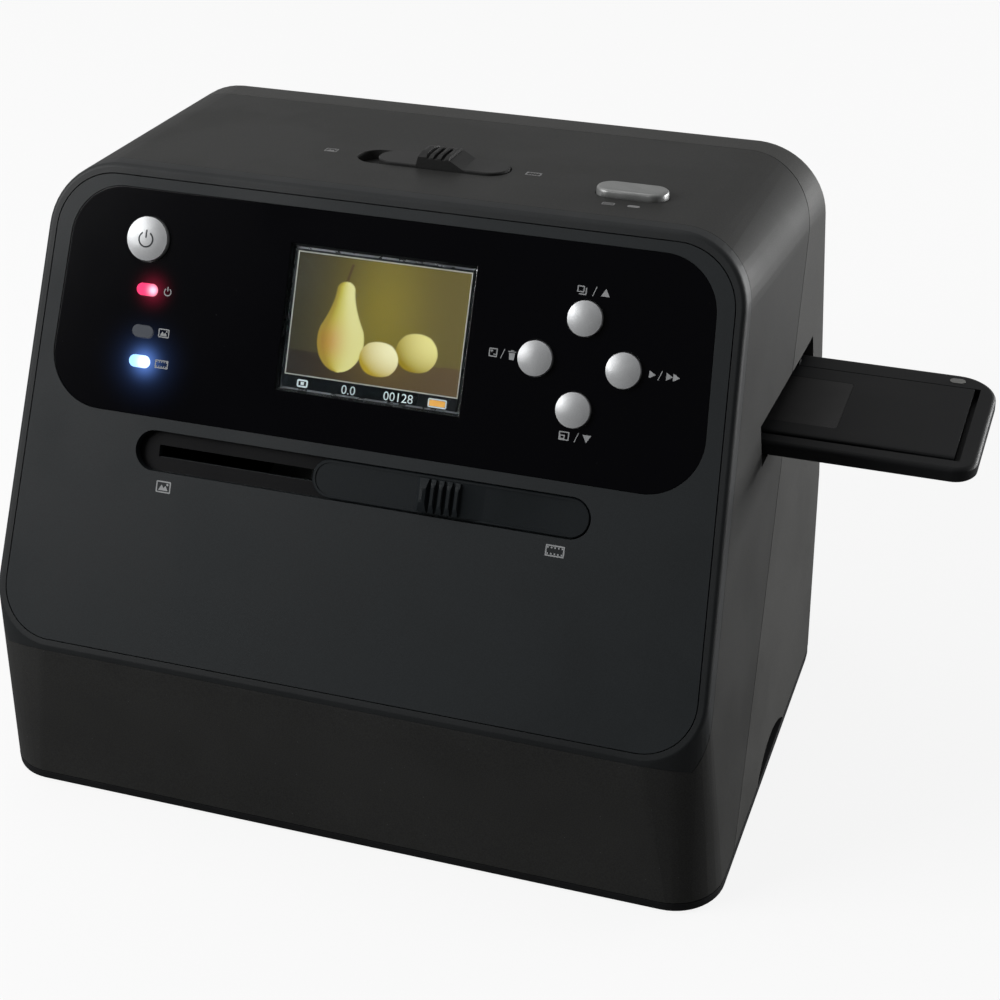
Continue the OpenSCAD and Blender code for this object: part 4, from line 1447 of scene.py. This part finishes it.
@dataclass
class Sliders:
    """The slider in the front slot and the slider on the top, each a plate with a ribbed grip.

    Plates, the slot and the channel in it are given by their centre, their width and their height.
    """

    front_plate: Quad = (25.3, 58.0, 74.2, 10.1)
    front_levels: tuple[float, float, float] = (-2.2, -1.0, -0.75)
    front_lip: float = 1.7
    front_grip: Grip = Grip(18.4, 8.6, 3.4, 3.0, 5.6, 4)
    front_grip_place: Point = (26.0, -1.0)
    top_plate: Quad = (3.95, 25.4, 36.0, 10.5)
    top_levels: tuple[float, float, float] = (-2.2, 0.35, 0.6)
    top_grip: Grip = Grip(13.0, 10.6, 3.4, 2.2, 3.4, 3)
    slot: Quad = (0.6, 58.0, 124.3, 10.4)
    channel: tuple[float, float, float, float, float] = (0.6, 58.0, 113.2, 3.2, 0.4)
    shade_sheet_levels: Point = (-2.62, -2.32)
    bevel: float = 0.5
    stem_top: float = -2.0
    edge: float = 0.1

    def plate(self, face: Face, place: Quad, levels: tuple[float, float, float]) -> bpy.types.Mesh:
        """Returns a slider's plate with a bevelled rim.

        Args:
            face: The face that it lies on.
            place: Its centre across and along, its width and its height.
            levels: The heights of its underside, of the bevel's foot and of its top.

        Returns:
            The closed form.
        """
        x, y, w, h = place
        low, foot, top = levels
        return Solid(face).rings([
            (stadium(x, y, w, h), low), (stadium(x, y, w, h), foot),
            (stadium(x, y, w - self.bevel, h - self.bevel), top)]).data("plate")

    def front(self) -> bpy.types.Mesh:
        """Returns the front slider: the plate with its lip, the grip, and the arm to the lamp carriage.

        Returns:
            The closed form.
        """
        x, y, w, h = self.front_plate
        plate = self.plate(FRONT, self.front_plate, self.front_levels)
        dip = prism(FRONT, stadium(x, y, w - self.front_lip, h - self.front_lip), -0.95, 1)
        stem = carve(packed_form("front_slider"), (Step.CUT, slab(FRONT, self.stem_top, 20)))
        grip_x, grip_base = self.front_grip_place
        return carve(plate, (Step.CUT, dip), (Step.JOIN, self.front_grip.form(FRONT, grip_x, y, grip_base)),
                     (Step.JOIN, stem))

    def top(self) -> bpy.types.Mesh:
        """Returns the top slider: the plate, the grip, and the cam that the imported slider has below.

        Returns:
            The closed form.
        """
        x, y = self.top_plate[:2]
        plate = self.plate(TOP, self.top_plate, self.top_levels)
        stem = carve(packed_form("top_slider"), (Step.CUT, slab(TOP, self.stem_top, 20, -80, 80)))
        return carve(plate, (Step.JOIN, self.top_grip.form(TOP, x + 0.5, y, 0.5)), (Step.JOIN, stem))

    def build(self) -> None:
        """Builds both sliders and a very dark sheet in the front slot, which is painted shade for the slot's
        depth.
        """
        dresser = Dresser()
        # painted shade: the very dark sheet under the slider fills the front slot with shade
        Solid(FRONT).band(stadium(*self.slot), rounded(*self.channel, 20), *self.shade_sheet_levels).piece(
            "slot_lining", SLOT_DARK, "housing", "front")
        dresser.mould(self.front(), self.edge, "front_slider_plate", KNOB, "backlight", "front",
                      "front_slider")
        dresser.mould(self.top(), self.edge, "top_slider_plate", TOP_KNOB, "focus_slider", "body",
                      "top_slider")


@dataclass
class ScanKey:
    """The silver key on the top, with a soft rim."""

    place: Point = (57.2, 18.0)
    size: Point = (18.7, 8.3)
    levels: tuple[Point, ...] = (
        (0.0, -1.5), (0.0, 1.25), (0.12, 1.6), (0.4, 1.85), (0.8, 1.98), (1.3, 2.0))
    stem_top: float = -1.2

    def build(self) -> None:
        """Builds the key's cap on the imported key's stem."""
        (x, y), (w, h) = self.place, self.size
        cap = Solid(TOP).rings([(stadium(x, y, w - 2 * i, h - 2 * i), z) for i, z in self.levels]).data("cap")
        stem = carve(packed_form("scan_button"), (Step.CUT, slab(TOP, self.stem_top, 20, -80, 80)))
        finish_piece(carve(cap, (Step.JOIN, stem)), "scan_key_cap", SCAN_SILVER, "scan_key", 40,
                     ("scan_button",))


@dataclass
class BaseScrews:
    """The four cross-head screws that hold the base."""

    head: float = 2.9
    shank: float = 1.4
    tip: float = 9.0
    cross: Point = (1.7, 0.3)
    cross_depth: float = 1.9

    def build(self) -> None:
        """Builds one screw and repeats it in the front pair, and moves a copy of that to the rear."""
        (x, y), (rear_x, rear_y) = SCREW_PLACES[0], SCREW_PLACES[2]
        rings = [(self.head - 0.5, 1.25), (self.head, 1.6), (self.head, SCREW_SEAT),
                 (self.shank, SCREW_SEAT + 0.02), (self.shank, self.tip)]
        screw = Solid(LEVEL).rings([(circle(x, y, r, 24), z) for r, z in rings]).data("screw")
        arm, slot = self.cross
        bars = [prism(LEVEL, box(x - a, x + a, y - b, y + b), 0, self.cross_depth)
                for a, b in ((arm, slot), (slot, arm))]
        cross = carve(bars[0], (Step.JOIN, bars[1]))
        front = repeat(carve(screw, (Step.CUT, cross)), STEEL, 2, Vector((-2 * x, 0, 0)))
        back = front.copy()
        for vertex in back.vertices:
            side = 1 if vertex.co.x > 0 else -1
            vertex.co += Vector((side * (rear_x - x), rear_y - y, 0)) * MM
        finish_piece(carve(front, (Step.JOIN, back)), "base_screw_set", STEEL, "housing", 35,
                     ("base_screws",))


# ---------------------------------------------------------------- printed marks


class Mark(Enum):
    """The plain pictures that stand beside lights, keys and sliders."""

    POWER = "power"
    PRINT = "print"
    FILM = "film"
    KIND = "kind"
    EXPOSURE = "exposure"
    DISCARD = "discard"
    SIZE = "size"
    UP = "up"
    DOWN = "down"
    PLAY = "play"
    NEXT = "next"
    SCAN = "scan"
    KEY = "key"
    SLASH = "slash"


MarkRow = tuple[Mark, float, float, float]


@dataclass
class Printer:
    """Draws marks in thin ink on one face, each in a box of its own height."""

    face: Face
    line: float
    low: float
    high: float
    solid: Solid = field(init=False)

    def __post_init__(self) -> None:
        """Starts with an empty sheet of ink."""
        self.solid = Solid(self.face)

    def fill(self, outline: Sequence[Point]) -> None:
        """Inks an outline."""
        self.solid.plate(outline, self.low, self.high)

    def frame(self, x: float, y: float, w: float, h: float, r: float = 0.3) -> None:
        """Inks the border of a rectangle with round corners about its centre."""
        t = self.line
        self.solid.band(rounded(x, y, w, h, r), rounded(x, y, w - 2 * t, h - 2 * t, max(r - t, 0.05)),
                        self.low, self.high)

    def box(self, x: float, y: float, w: float, h: float) -> None:
        """Inks a rectangle about its centre."""
        self.fill(box(x - w / 2, x + w / 2, y - h / 2, y + h / 2))

    def triangle(self, x: float, y: float, r: float, turn: float) -> None:
        """Inks a triangle of radius r that points in the direction of turn, in degrees."""
        self.fill(circle(x, y, r, 3, turn, turn + 360))

    def draw(self, mark: Mark, x: float, y: float, h: float) -> None:
        """Draws one mark about its centre.

        Args:
            mark: The mark.
            x: Its centre across.
            y: Its centre along.
            h: Its height.
        """
        t = self.line
        if mark is Mark.POWER:
            self.fill(arc_band(x, y - h * 0.06, h * 0.38, t, 125, 415))
            self.box(x, y + h * 0.26, t, h * 0.46)
        elif mark is Mark.PRINT:
            self.frame(x, y, h * 1.35, h)
            self.fill([(x - h * 0.45, y - h * 0.3), (x + h * 0.42, y - h * 0.3), (x + h * 0.2, y + h * 0.12),
                       (x + h * 0.02, y - h * 0.1), (x - h * 0.18, y + h * 0.2)])
            self.fill(circle(x + h * 0.36, y + h * 0.22, h * 0.1, 12))
        elif mark is Mark.FILM:
            self.frame(x, y, h * 1.7, h, 0.12)
            for side in (-1, 1):
                for i in range(5):
                    self.box(x + (i - 2) * h * 0.32, y + side * h * 0.27, h * 0.13, h * 0.14)
        elif mark is Mark.KIND:
            self.frame(x - h * 0.14, y + h * 0.1, h * 0.8, h * 0.7, 0.12)
            self.fill(bar((x - h * 0.3, y - h * 0.44), (x + h * 0.46, y - h * 0.44), t))
            self.fill(bar((x + h * 0.46, y - h * 0.44), (x + h * 0.46, y + h * 0.28), t))
        elif mark is Mark.EXPOSURE:
            self.frame(x, y, h, h, 0.2)
            self.box(x - h * 0.18, y + h * 0.18, h * 0.3, t * 0.8)
            self.box(x - h * 0.18, y + h * 0.18, t * 0.8, h * 0.3)
            self.box(x + h * 0.2, y - h * 0.2, h * 0.3, t * 0.8)
        elif mark is Mark.DISCARD:
            self.fill([(x - h * 0.26, y - h * 0.5), (x + h * 0.26, y - h * 0.5), (x + h * 0.34, y + h * 0.24),
                       (x - h * 0.34, y + h * 0.24)])
            self.box(x, y + h * 0.38, h * 0.86, t * 0.8)
            self.box(x, y + h * 0.5, h * 0.34, t * 0.7)
        elif mark is Mark.SIZE:
            self.frame(x, y, h * 1.2, h, 0.12)
            self.frame(x - h * 0.2, y - h * 0.14, h * 0.6, h * 0.5, 0.1)
        elif mark in (Mark.UP, Mark.DOWN):
            self.triangle(x, y, h * 0.56, 90 if mark is Mark.UP else 270)
        elif mark in (Mark.PLAY, Mark.NEXT):
            for i in range(1 if mark is Mark.PLAY else 2):
                self.triangle(x + i * h * 0.86, y, h * 0.56, 0)
        elif mark is Mark.SCAN:
            self.frame(x, y, h * 1.9, h, 0.3)
            self.box(x, y, h * 1.3, t * 0.8)
        elif mark is Mark.KEY:
            self.fill(rounded(x, y, h * 2.1, h, h * 0.45))
        elif mark is Mark.SLASH:
            self.fill(bar((x - h * 0.18, y - h * 0.5), (x + h * 0.18, y + h * 0.5), t * 0.7))

    def sheet(self, rows: Iterable[MarkRow], name: str, finish: Finish) -> None:
        """Draws marks and makes a piece of the housing of them.

        Args:
            rows: Each mark with its centre across, its centre along and its height.
            name: The piece's name.
            finish: The ink.
        """
        for mark, x, y, h in rows:
            self.draw(mark, x, y, h)
        self.solid.piece(name, finish, "housing", "silver")


@dataclass
class PanelMarks:
    """The print on the glossy panel: one mark for each light, and one or two for each key."""

    marks: tuple[MarkRow, ...] = (
        (Mark.POWER, -57.6, 99.6, 2.5), (Mark.PRINT, -57.4, 88.7, 2.3), (Mark.FILM, -57.1, 80.6, 2.2),
        (Mark.KIND, 53.0, 113.9, 2.3), (Mark.SLASH, 56.2, 113.9, 2.4), (Mark.UP, 59.0, 113.6, 2.3),
        (Mark.EXPOSURE, 32.4, 95.8, 2.2), (Mark.SLASH, 34.9, 95.8, 2.4), (Mark.DISCARD, 37.3, 95.7, 2.3),
        (Mark.PLAY, 73.0, 95.8, 2.0), (Mark.SLASH, 75.2, 95.8, 2.4), (Mark.NEXT, 77.3, 95.8, 2.0),
        (Mark.SIZE, 53.2, 77.9, 2.2), (Mark.SLASH, 56.4, 77.9, 2.4), (Mark.DOWN, 59.0, 78.2, 2.3))

    def build(self) -> None:
        """Builds the panel's print."""
        Printer(FRONT, line=0.28, low=-0.25, high=-0.16).sheet(self.marks, "panel_marks", LABEL)


@dataclass
class SlotMarks:
    """The print at both ends of the front slot and of the top slot, and by the scan key."""

    front: tuple[MarkRow, ...] = ((Mark.PRINT, -52.6, 48.9, 3.1), (Mark.FILM, 54.8, 49.3, 2.9))
    top: tuple[MarkRow, ...] = (
        (Mark.PRINT, -28.2, 25.9, 2.6), (Mark.FILM, 28.6, 25.3, 2.4), (Mark.SCAN, 53.4, 9.2, 1.7),
        (Mark.KEY, 59.9, 9.2, 1.5))

    def build(self) -> None:
        """Builds the print on the plate and on the top."""
        Printer(FRONT, line=0.34, low=-0.03, high=0.03).sheet(self.front, "front_slot_marks", LABEL)
        Printer(TOP, line=0.3, low=-0.06, high=0.06).sheet(self.top, "top_marks", TOP_LABEL)


@dataclass
class PowerSymbol:
    """The power symbol that is printed on the domed power key."""

    place: Point = (-64.6, 112.5)
    diameter: float = 11.4
    rise: float = 0.7
    rim: float = 0.9
    line: float = 0.42
    size: float = 1.95
    drop: float = 0.2
    arc: Point = (122.0, 418.0)
    skin: Point = (-0.05, 0.03)

    def height(self, x: float, y: float) -> float:
        """Returns the height of the dome above the panel at a point."""
        radius = (self.diameter ** 2 / 4 + self.rise ** 2) / (2 * self.rise)
        away = (x - self.place[0]) ** 2 + (y - self.place[1]) ** 2
        return self.rim + self.rise - radius + math.sqrt(radius ** 2 - away)

    def strip(self, mesh: bmesh.types.BMesh, left: Sequence[Point], right: Sequence[Point]) -> None:
        """Adds a thin strip of ink that follows the dome between two lines of points.

        Args:
            mesh: The mesh that takes it.
            left: The line along its left side.
            right: The line along its right side, with as many points.
        """
        low, high = self.skin
        rows = [[mesh.verts.new(FRONT.at(x, y, self.height(x, y) + lift)) for x, y in line]
                for line, lift in ((left, high), (right, high), (right, low), (left, low))]
        for a, b in zip(rows, rows[1:] + rows[:1]):
            for i in range(len(a) - 1):
                mesh.faces.new((a[i], b[i], b[i + 1], a[i + 1]))
        mesh.faces.new([row[0] for row in rows])
        mesh.faces.new([row[-1] for row in reversed(rows)])

    def build(self) -> None:
        """Builds the symbol as a bent strip and a short bar."""
        x, y = self.place[0], self.place[1] - self.drop
        half = self.line / 2
        solid = Solid(FRONT)
        self.strip(solid.mesh, circle(x, y, self.size + half, 40, *self.arc),
                   circle(x, y, self.size - half, 40, *self.arc))
        bar_y = [y + 0.4 + 0.3 * i for i in range(8)]
        self.strip(solid.mesh, [(x - half, b) for b in bar_y], [(x + half, b) for b in bar_y])
        bmesh.ops.recalc_face_normals(solid.mesh, faces=solid.mesh.faces)
        solid.piece("power_symbol", SYMBOL, "power_key", "board", angle=60)


@dataclass
class ScreenPicture:
    """What the screen shows: a still life of fruit in warm olive light, and a line of figures below it."""

    left: float = -22.75
    right: float = 24.4
    low: float = 82.95
    high: float = 114.6
    across: int = 210
    up: int = 150
    face_height: float = -1.3
    line: float = 0.3
    status_v: float = 81.05
    mode_u: float = -17.6
    figures: tuple[tuple[str, float], ...] = (("0.0", -6.9), ("00128", 4.6))
    figure_height: float = 2.35
    battery_u: float = 19.2

    def shade(self, s: float, t: float) -> Colour:
        """Returns the picture's colour at a place.

        Args:
            s: The place across, from 0 at the left to 1 at the right.
            t: The place up, from 0 to 1.

        Returns:
            The colour.
        """
        warm = math.exp(-(((s - 0.52) / 0.24) ** 2 + ((t - 0.62) / 0.6) ** 2))
        side = 0.04 + 0.72 * s
        colour = (0.02 + 0.15 * side + 0.13 * warm, 0.019 + 0.115 * side + 0.105 * warm,
                  0.008 + 0.028 * side + 0.002 * warm)
        if t < 0.2 + 0.03 * s:
            fade = 0.55 + 0.3 * s
            colour = (colour[0] * fade * 0.95, colour[1] * fade * 0.78, colour[2] * fade * 1.3)
        for fruit in self.fruits():
            colour = fruit(s, t, colour)
        return colour

    def fruits(self) -> tuple[Callable[[float, float, Colour], Colour], ...]:
        """Returns the painters of a pear and two lemons, the far ones first.

        Returns:
            The painters, each of which takes a place and the colour under it.
        """
        def ball(cx: float, cy: float, rx: float, ry: float, light: Colour, dark: Colour,
                 tip: float = 0.0) -> Callable[[float, float, Colour], Colour]:
            """Returns the painter of one round fruit, with a pointed end where tip isn't 0.

            Args:
                cx: Its centre across.
                cy: Its centre up.
                rx: Its radius across.
                ry: Its radius up.
                light: Its colour in the light.
                dark: Its colour in the shade.
                tip: How pointed its ends are.

            Returns:
                The painter.
            """
            def paint(s: float, t: float, under: Colour) -> Colour:
                """Returns the colour under or on the fruit.

                Args:
                    s: The place across.
                    t: The place up.
                    under: The colour under it.

                Returns:
                    The colour.
                """
                x, y = (s - cx) / rx, (t - cy) / ry
                reach = 1 - tip * max(0.0, abs(x) - 0.55)
                inside = reach - math.hypot(x, y / max(0.2, 1 - tip * 0.25))
                cover = min(1.0, max(0.0, inside / 0.04 + 0.5))
                lit = min(1.0, max(0.0, 0.62 + 0.45 * x + 0.4 * y - 0.28 * (x * x + y * y)))
                fruit = tuple(d + (l - d) * lit for l, d in zip(light, dark))
                return tuple(u + (f - u) * cover for u, f in zip(under, fruit))
            return paint

        def pear(s: float, t: float, under: Colour) -> Colour:
            """Paints the pear, a round body that narrows to its stalk.

            Args:
                s: The place across.
                t: The place up.
                under: The colour under it.

            Returns:
                The colour.
            """
            cx, base, top = 0.3, 0.1, 0.8
            y = (t - base) / (top - base)
            colour = under
            if -0.05 < y < 1.25:
                belly = 0.135 * math.sqrt(max(0.0, 1 - ((y - 0.32) / 0.36) ** 2)) if y < 0.45 else 0.0
                neck = 0.052 + 0.075 * max(0.0, 1 - (y - 0.45) / 0.45) ** 1.6 if 0.45 <= y < 0.9 else 0.0
                crown = 0.052 * math.sqrt(max(0.0, 1 - ((y - 0.9) / 0.1) ** 2)) if 0.9 <= y <= 1.0 else 0.0
                half = max(belly, neck, crown)
                x = (s - cx) / max(half, 1e-4)
                cover = min(1.0, max(0.0, (half - abs(s - cx)) / 0.005 + 0.5)) if half > 0 else 0.0
                lit = min(1.0, max(0.0, 0.55 + 0.5 * x - 0.35 * x * x + 0.12 * y))
                blush = math.exp(-(((x + 0.35) / 0.5) ** 2 + ((y - 0.3) / 0.22) ** 2))
                fruit = (0.34 + 0.5 * lit, 0.26 + 0.55 * lit - 0.14 * blush, 0.03 + 0.42 * lit * lit)
                colour = tuple(u + (f - u) * cover for u, f in zip(colour, fruit))
                if 1.0 < y < 1.2 and abs(s - cx - (y - 1.0) * 0.12) < 0.007:
                    colour = (0.07, 0.04, 0.015)
            return colour

        return (ball(0.74, 0.31, 0.13, 0.165, (0.85, 0.78, 0.3), (0.3, 0.22, 0.01), 0.25), pear,
                ball(0.53, 0.22, 0.125, 0.15, (0.95, 0.9, 0.55), (0.42, 0.3, 0.02), 0.3))

    def build(self) -> None:
        """Builds the picture, its border line and the status line."""
        data = bpy.data.meshes.new("screen_picture")
        solid = Solid(FRONT)
        points: list[Point] = []
        rows = []
        for j in range(self.up + 1):
            row = []
            for i in range(self.across + 1):
                u = self.left + (self.right - self.left) * i / self.across
                v = self.low + (self.high - self.low) * j / self.up
                row.append(solid.mesh.verts.new(FRONT.at(u, v, self.face_height + 0.04)))
                points.append((i / self.across, j / self.up))
            rows.append(row)
        for a, b in zip(rows, rows[1:]):
            for i in range(self.across):
                solid.mesh.faces.new((a[i], a[i + 1], b[i + 1], b[i]))
        solid.mesh.to_mesh(data)
        solid.mesh.free()
        paint = data.attributes.new("paint", "FLOAT_COLOR", "POINT")
        for k, (s, t) in enumerate(points):
            paint.data[k].color = rgba(self.shade(s, t))
        finish_piece(data, "screen_picture", PICTURE, "housing")
        self.lines()
        self.status()

    def lines(self) -> None:
        """Builds the thin pale line round the picture."""
        t = self.line
        outer = box(self.left, self.right, self.low, self.high)
        inner = box(self.left + t, self.right - t, self.low + t, self.high - t)
        Solid(FRONT).band(outer, inner, self.face_height, self.face_height + 0.08).piece(
            "screen_line", SCREEN_LINE, "housing", "screen")

    def status(self) -> None:
        """Builds the status line: a mode mark, two plain numbers and a battery."""
        low, mid = self.face_height - 0.01, self.status_v
        ink = Printer(FRONT, line=0.42, low=low, high=self.face_height + 0.05)
        ink.frame(self.mode_u, mid, 3.0, 2.0, 0.5)
        ink.box(self.mode_u, mid, 0.9, 0.8)
        for text, u in self.figures:
            add_figures(ink, text, (u, mid - self.figure_height / 2 + 0.1), self.figure_height)
        ink.solid.piece("screen_figures", SCREEN_WHITE, "housing", "screen")
        Solid(FRONT).plate(rounded(self.battery_u, mid, 4.2, 1.5, 0.25), low, self.face_height + 0.05).piece(
            "screen_battery", SCREEN_ORANGE, "housing", "screen")
        rim = Printer(FRONT, line=0.35, low=low, high=self.face_height + 0.06)
        rim.frame(self.battery_u, mid, 5.0, 2.3, 0.4)
        rim.solid.piece("screen_battery_rim", SCREEN_WHITE, "housing", "screen")


CAP_HEIGHT = 0.72  # a figure's height in a font of size 1


def add_figures(ink: Printer, text: str, place: Point, height: float) -> None:
    """Prints plain figures.

    Args:
        ink: The printer whose sheet takes them.
        text: The figures.
        place: The left end of their base line, in millimetres.
        height: The height of a figure.
    """
    curve = bpy.data.curves.new("figures", "FONT")
    curve.body = text
    curve.size = 1.0
    curve.resolution_u = 3
    holder = add_object("figures", curve)
    flat = settled(holder)
    bpy.data.objects.remove(holder)
    bpy.data.curves.remove(curve)
    scale = height / CAP_HEIGHT
    solid = ink.solid
    made = bmesh.new()
    made.from_mesh(flat)
    bpy.data.meshes.remove(flat)
    bmesh.ops.remove_doubles(made, verts=made.verts, dist=1e-5)
    bmesh.ops.dissolve_limit(made, angle_limit=0.01, verts=made.verts, edges=made.edges)
    for lift in (ink.low, ink.high):
        copies = {v: solid.mesh.verts.new(solid.face.at(
            place[0] + v.co.x * scale, place[1] + v.co.y * scale, lift)) for v in made.verts}
        for f in made.faces:
            loop = [copies[v] for v in f.verts]
            solid.mesh.faces.new(loop if lift == ink.high else list(reversed(loop)))
        if lift == ink.low:
            lower = copies
    for e in made.edges:
        if len(e.link_faces) == 1:
            a, b = e.verts
            face_loop = list(e.link_faces[0].verts)
            if face_loop[(face_loop.index(a) + 1) % len(face_loop)] is not b:
                a, b = b, a
            solid.mesh.faces.new((lower[a], lower[b], copies[b], copies[a]))
    made.free()


# ---------------------------------------------------------------- the setting


@dataclass(frozen=True)
class SoftLight:
    """A rectangular soft light, in metres and watts."""

    name: str
    place: Vector
    aim: Vector
    size: Point
    power: float

    def build(self) -> None:
        """Builds the light."""
        data = bpy.data.lights.new(self.name, "AREA")
        data.shape = "RECTANGLE"
        data.size, data.size_y = self.size
        data.energy = self.power
        made = add_object(self.name, data)
        made.location = self.place
        made.rotation_mode = "QUATERNION"
        made.rotation_quaternion = (self.aim - self.place).to_track_quat("-Z", "Y")


LIGHTS: tuple[SoftLight, ...] = (
    SoftLight("overhead_light", Vector((-0.45, 0.2, 1.1)), Vector((0, 0.0, 0.1)), (0.9, 0.9), 2.2),
    SoftLight("right_light", Vector((1.0, 0.75, 0.12)), Vector((0.1, 0.0, 0.09)), (1.0, 0.24), 14.0),
    SoftLight("left_light", Vector((-0.92, -0.64, 0.74)), Vector((-0.05, -0.05, 0.05)), (0.72, 0.68), 11.0))


@dataclass
class Studio:
    """The floor, the soft lights, the plain surroundings and the camera."""

    camera_place: Vector = field(default_factory=lambda: Vector((190.439, -461.376, 388.151)))
    yaw: float = 19.909
    pitch: float = -32.960
    roll: float = -1.952
    focal: float = 76.632
    sensor: float = 36.0
    floor_radius: float = 4.0

    def build(self) -> None:
        """Builds the whole setting."""
        scene = bpy.context.scene
        scene.view_settings.view_transform = "Standard"
        self.camera()
        self.floor()
        self.surroundings()
        for light in LIGHTS:
            light.build()

    def camera(self) -> None:
        """Builds the camera from its place and its three angles."""
        yaw, pitch, roll = (math.radians(a) for a in (self.yaw, self.pitch, self.roll))
        ahead = Vector((-math.sin(yaw) * math.cos(pitch), math.cos(yaw) * math.cos(pitch), math.sin(pitch)))
        right = Vector((math.cos(yaw), math.sin(yaw), 0))
        up = right.cross(ahead)
        tilted_right = right * math.cos(roll) + up * math.sin(roll)
        tilted_up = up * math.cos(roll) - right * math.sin(roll)
        data = bpy.data.cameras.new("camera")
        data.lens = self.focal
        data.sensor_width = self.sensor
        data.clip_start = 0.02
        made = add_object("camera", data)
        turn = Matrix((tilted_right, tilted_up, -ahead)).transposed().to_4x4()
        made.matrix_world = Matrix.Translation(self.camera_place * MM) @ turn
        bpy.context.scene.camera = made

    def floor(self) -> None:
        """Builds the pale floor, which keeps the object's shadow."""
        data = bpy.data.meshes.new("floor")
        mesh = bmesh.new()
        bmesh.ops.create_circle(mesh, cap_ends=True, radius=self.floor_radius, segments=96)
        mesh.to_mesh(data)
        mesh.free()
        made = add_object("floor", data)
        material = bpy.data.materials.new("floor")
        material.use_nodes = True
        w = Wiring(material.node_tree)
        shader = material.node_tree.nodes["Principled BSDF"]
        seen = w.node("ShaderNodeLightPath").outputs["Is Camera Ray"]
        settle(w, shader, Roughness=0.9, Specular_IOR_Level=0.1, Base_Color=w.mix(seen, grey(0.2), grey(0.9)))
        white = w.node("ShaderNodeEmission", {"Color": grey(1.0), "Strength": 1.0})
        both = w.node("ShaderNodeMixShader", {0: w.maths("MULTIPLY", seen, 0.88), 1: shader.outputs[0],
                                              2: white.outputs[0]})
        w.fill(material.node_tree.nodes["Material Output"], {"Surface": both.outputs[0]})
        data.materials.append(material)

    def surroundings(self) -> None:
        """Builds the world: white where it is seen, softer where it lights the object."""
        world = bpy.data.worlds.new("studio")
        bpy.context.scene.world = world
        world.use_nodes = True
        w = Wiring(world.node_tree)
        ways = w.node("ShaderNodeLightPath")
        direction = w.node("ShaderNodeSeparateXYZ", {0: w.node("ShaderNodeTexCoord").outputs["Generated"]})
        behind = w.maths("MULTIPLY", w.ramp(direction.outputs[1], -0.1, 0.6),
                         w.ramp(direction.outputs[2], 0.0, 0.5, 0.8, 0.1))
        behind = w.maths("MULTIPLY", behind, w.ramp(direction.outputs[0], -0.8, 0.3, 1.0, 0.4))
        sky = w.maths("MULTIPLY", w.ramp(direction.outputs[2], -0.1, 0.9, 0.05, 0.4),
                      w.ramp(direction.outputs[1], -0.8, 0.4, 0.2, 1.0))
        bounced = w.maths("MAXIMUM", ways.outputs["Is Glossy Ray"], ways.outputs["Is Transmission Ray"])
        white = w.maths("MAXIMUM", ways.outputs["Is Camera Ray"], w.maths("MULTIPLY", bounced, behind))
        strength = w.maths("ADD", white, w.maths("MULTIPLY", w.maths("SUBTRACT", 1.0, white), sky))
        w.fill(world.node_tree.nodes["Background"], {"Color": grey(1.0), "Strength": strength})


def dress_nodes() -> None:
    """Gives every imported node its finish, and soft edges to the mouldings that show."""
    dresser = Dresser()
    for node, finish in NODE_FINISHES.items():
        dresser.dress(node, finish, SOFT_EDGES.get(node, 0.0))
    LOG.info("dressed %d packed nodes", len(NODE_FINISHES))


def main() -> None:
    """Builds every sub-assembly in order."""
    logging.basicConfig(level=logging.INFO, format="%(name)s: %(message)s")
    Studio().build()
    dress_nodes()
    for part in (Shells(), FilmTray(), Sliders(), ScanKey(), BaseScrews(), PanelMarks(), SlotMarks(),
                 PowerSymbol(), ScreenPicture()):
        part.build()


if __name__ == "__main__":
    main()
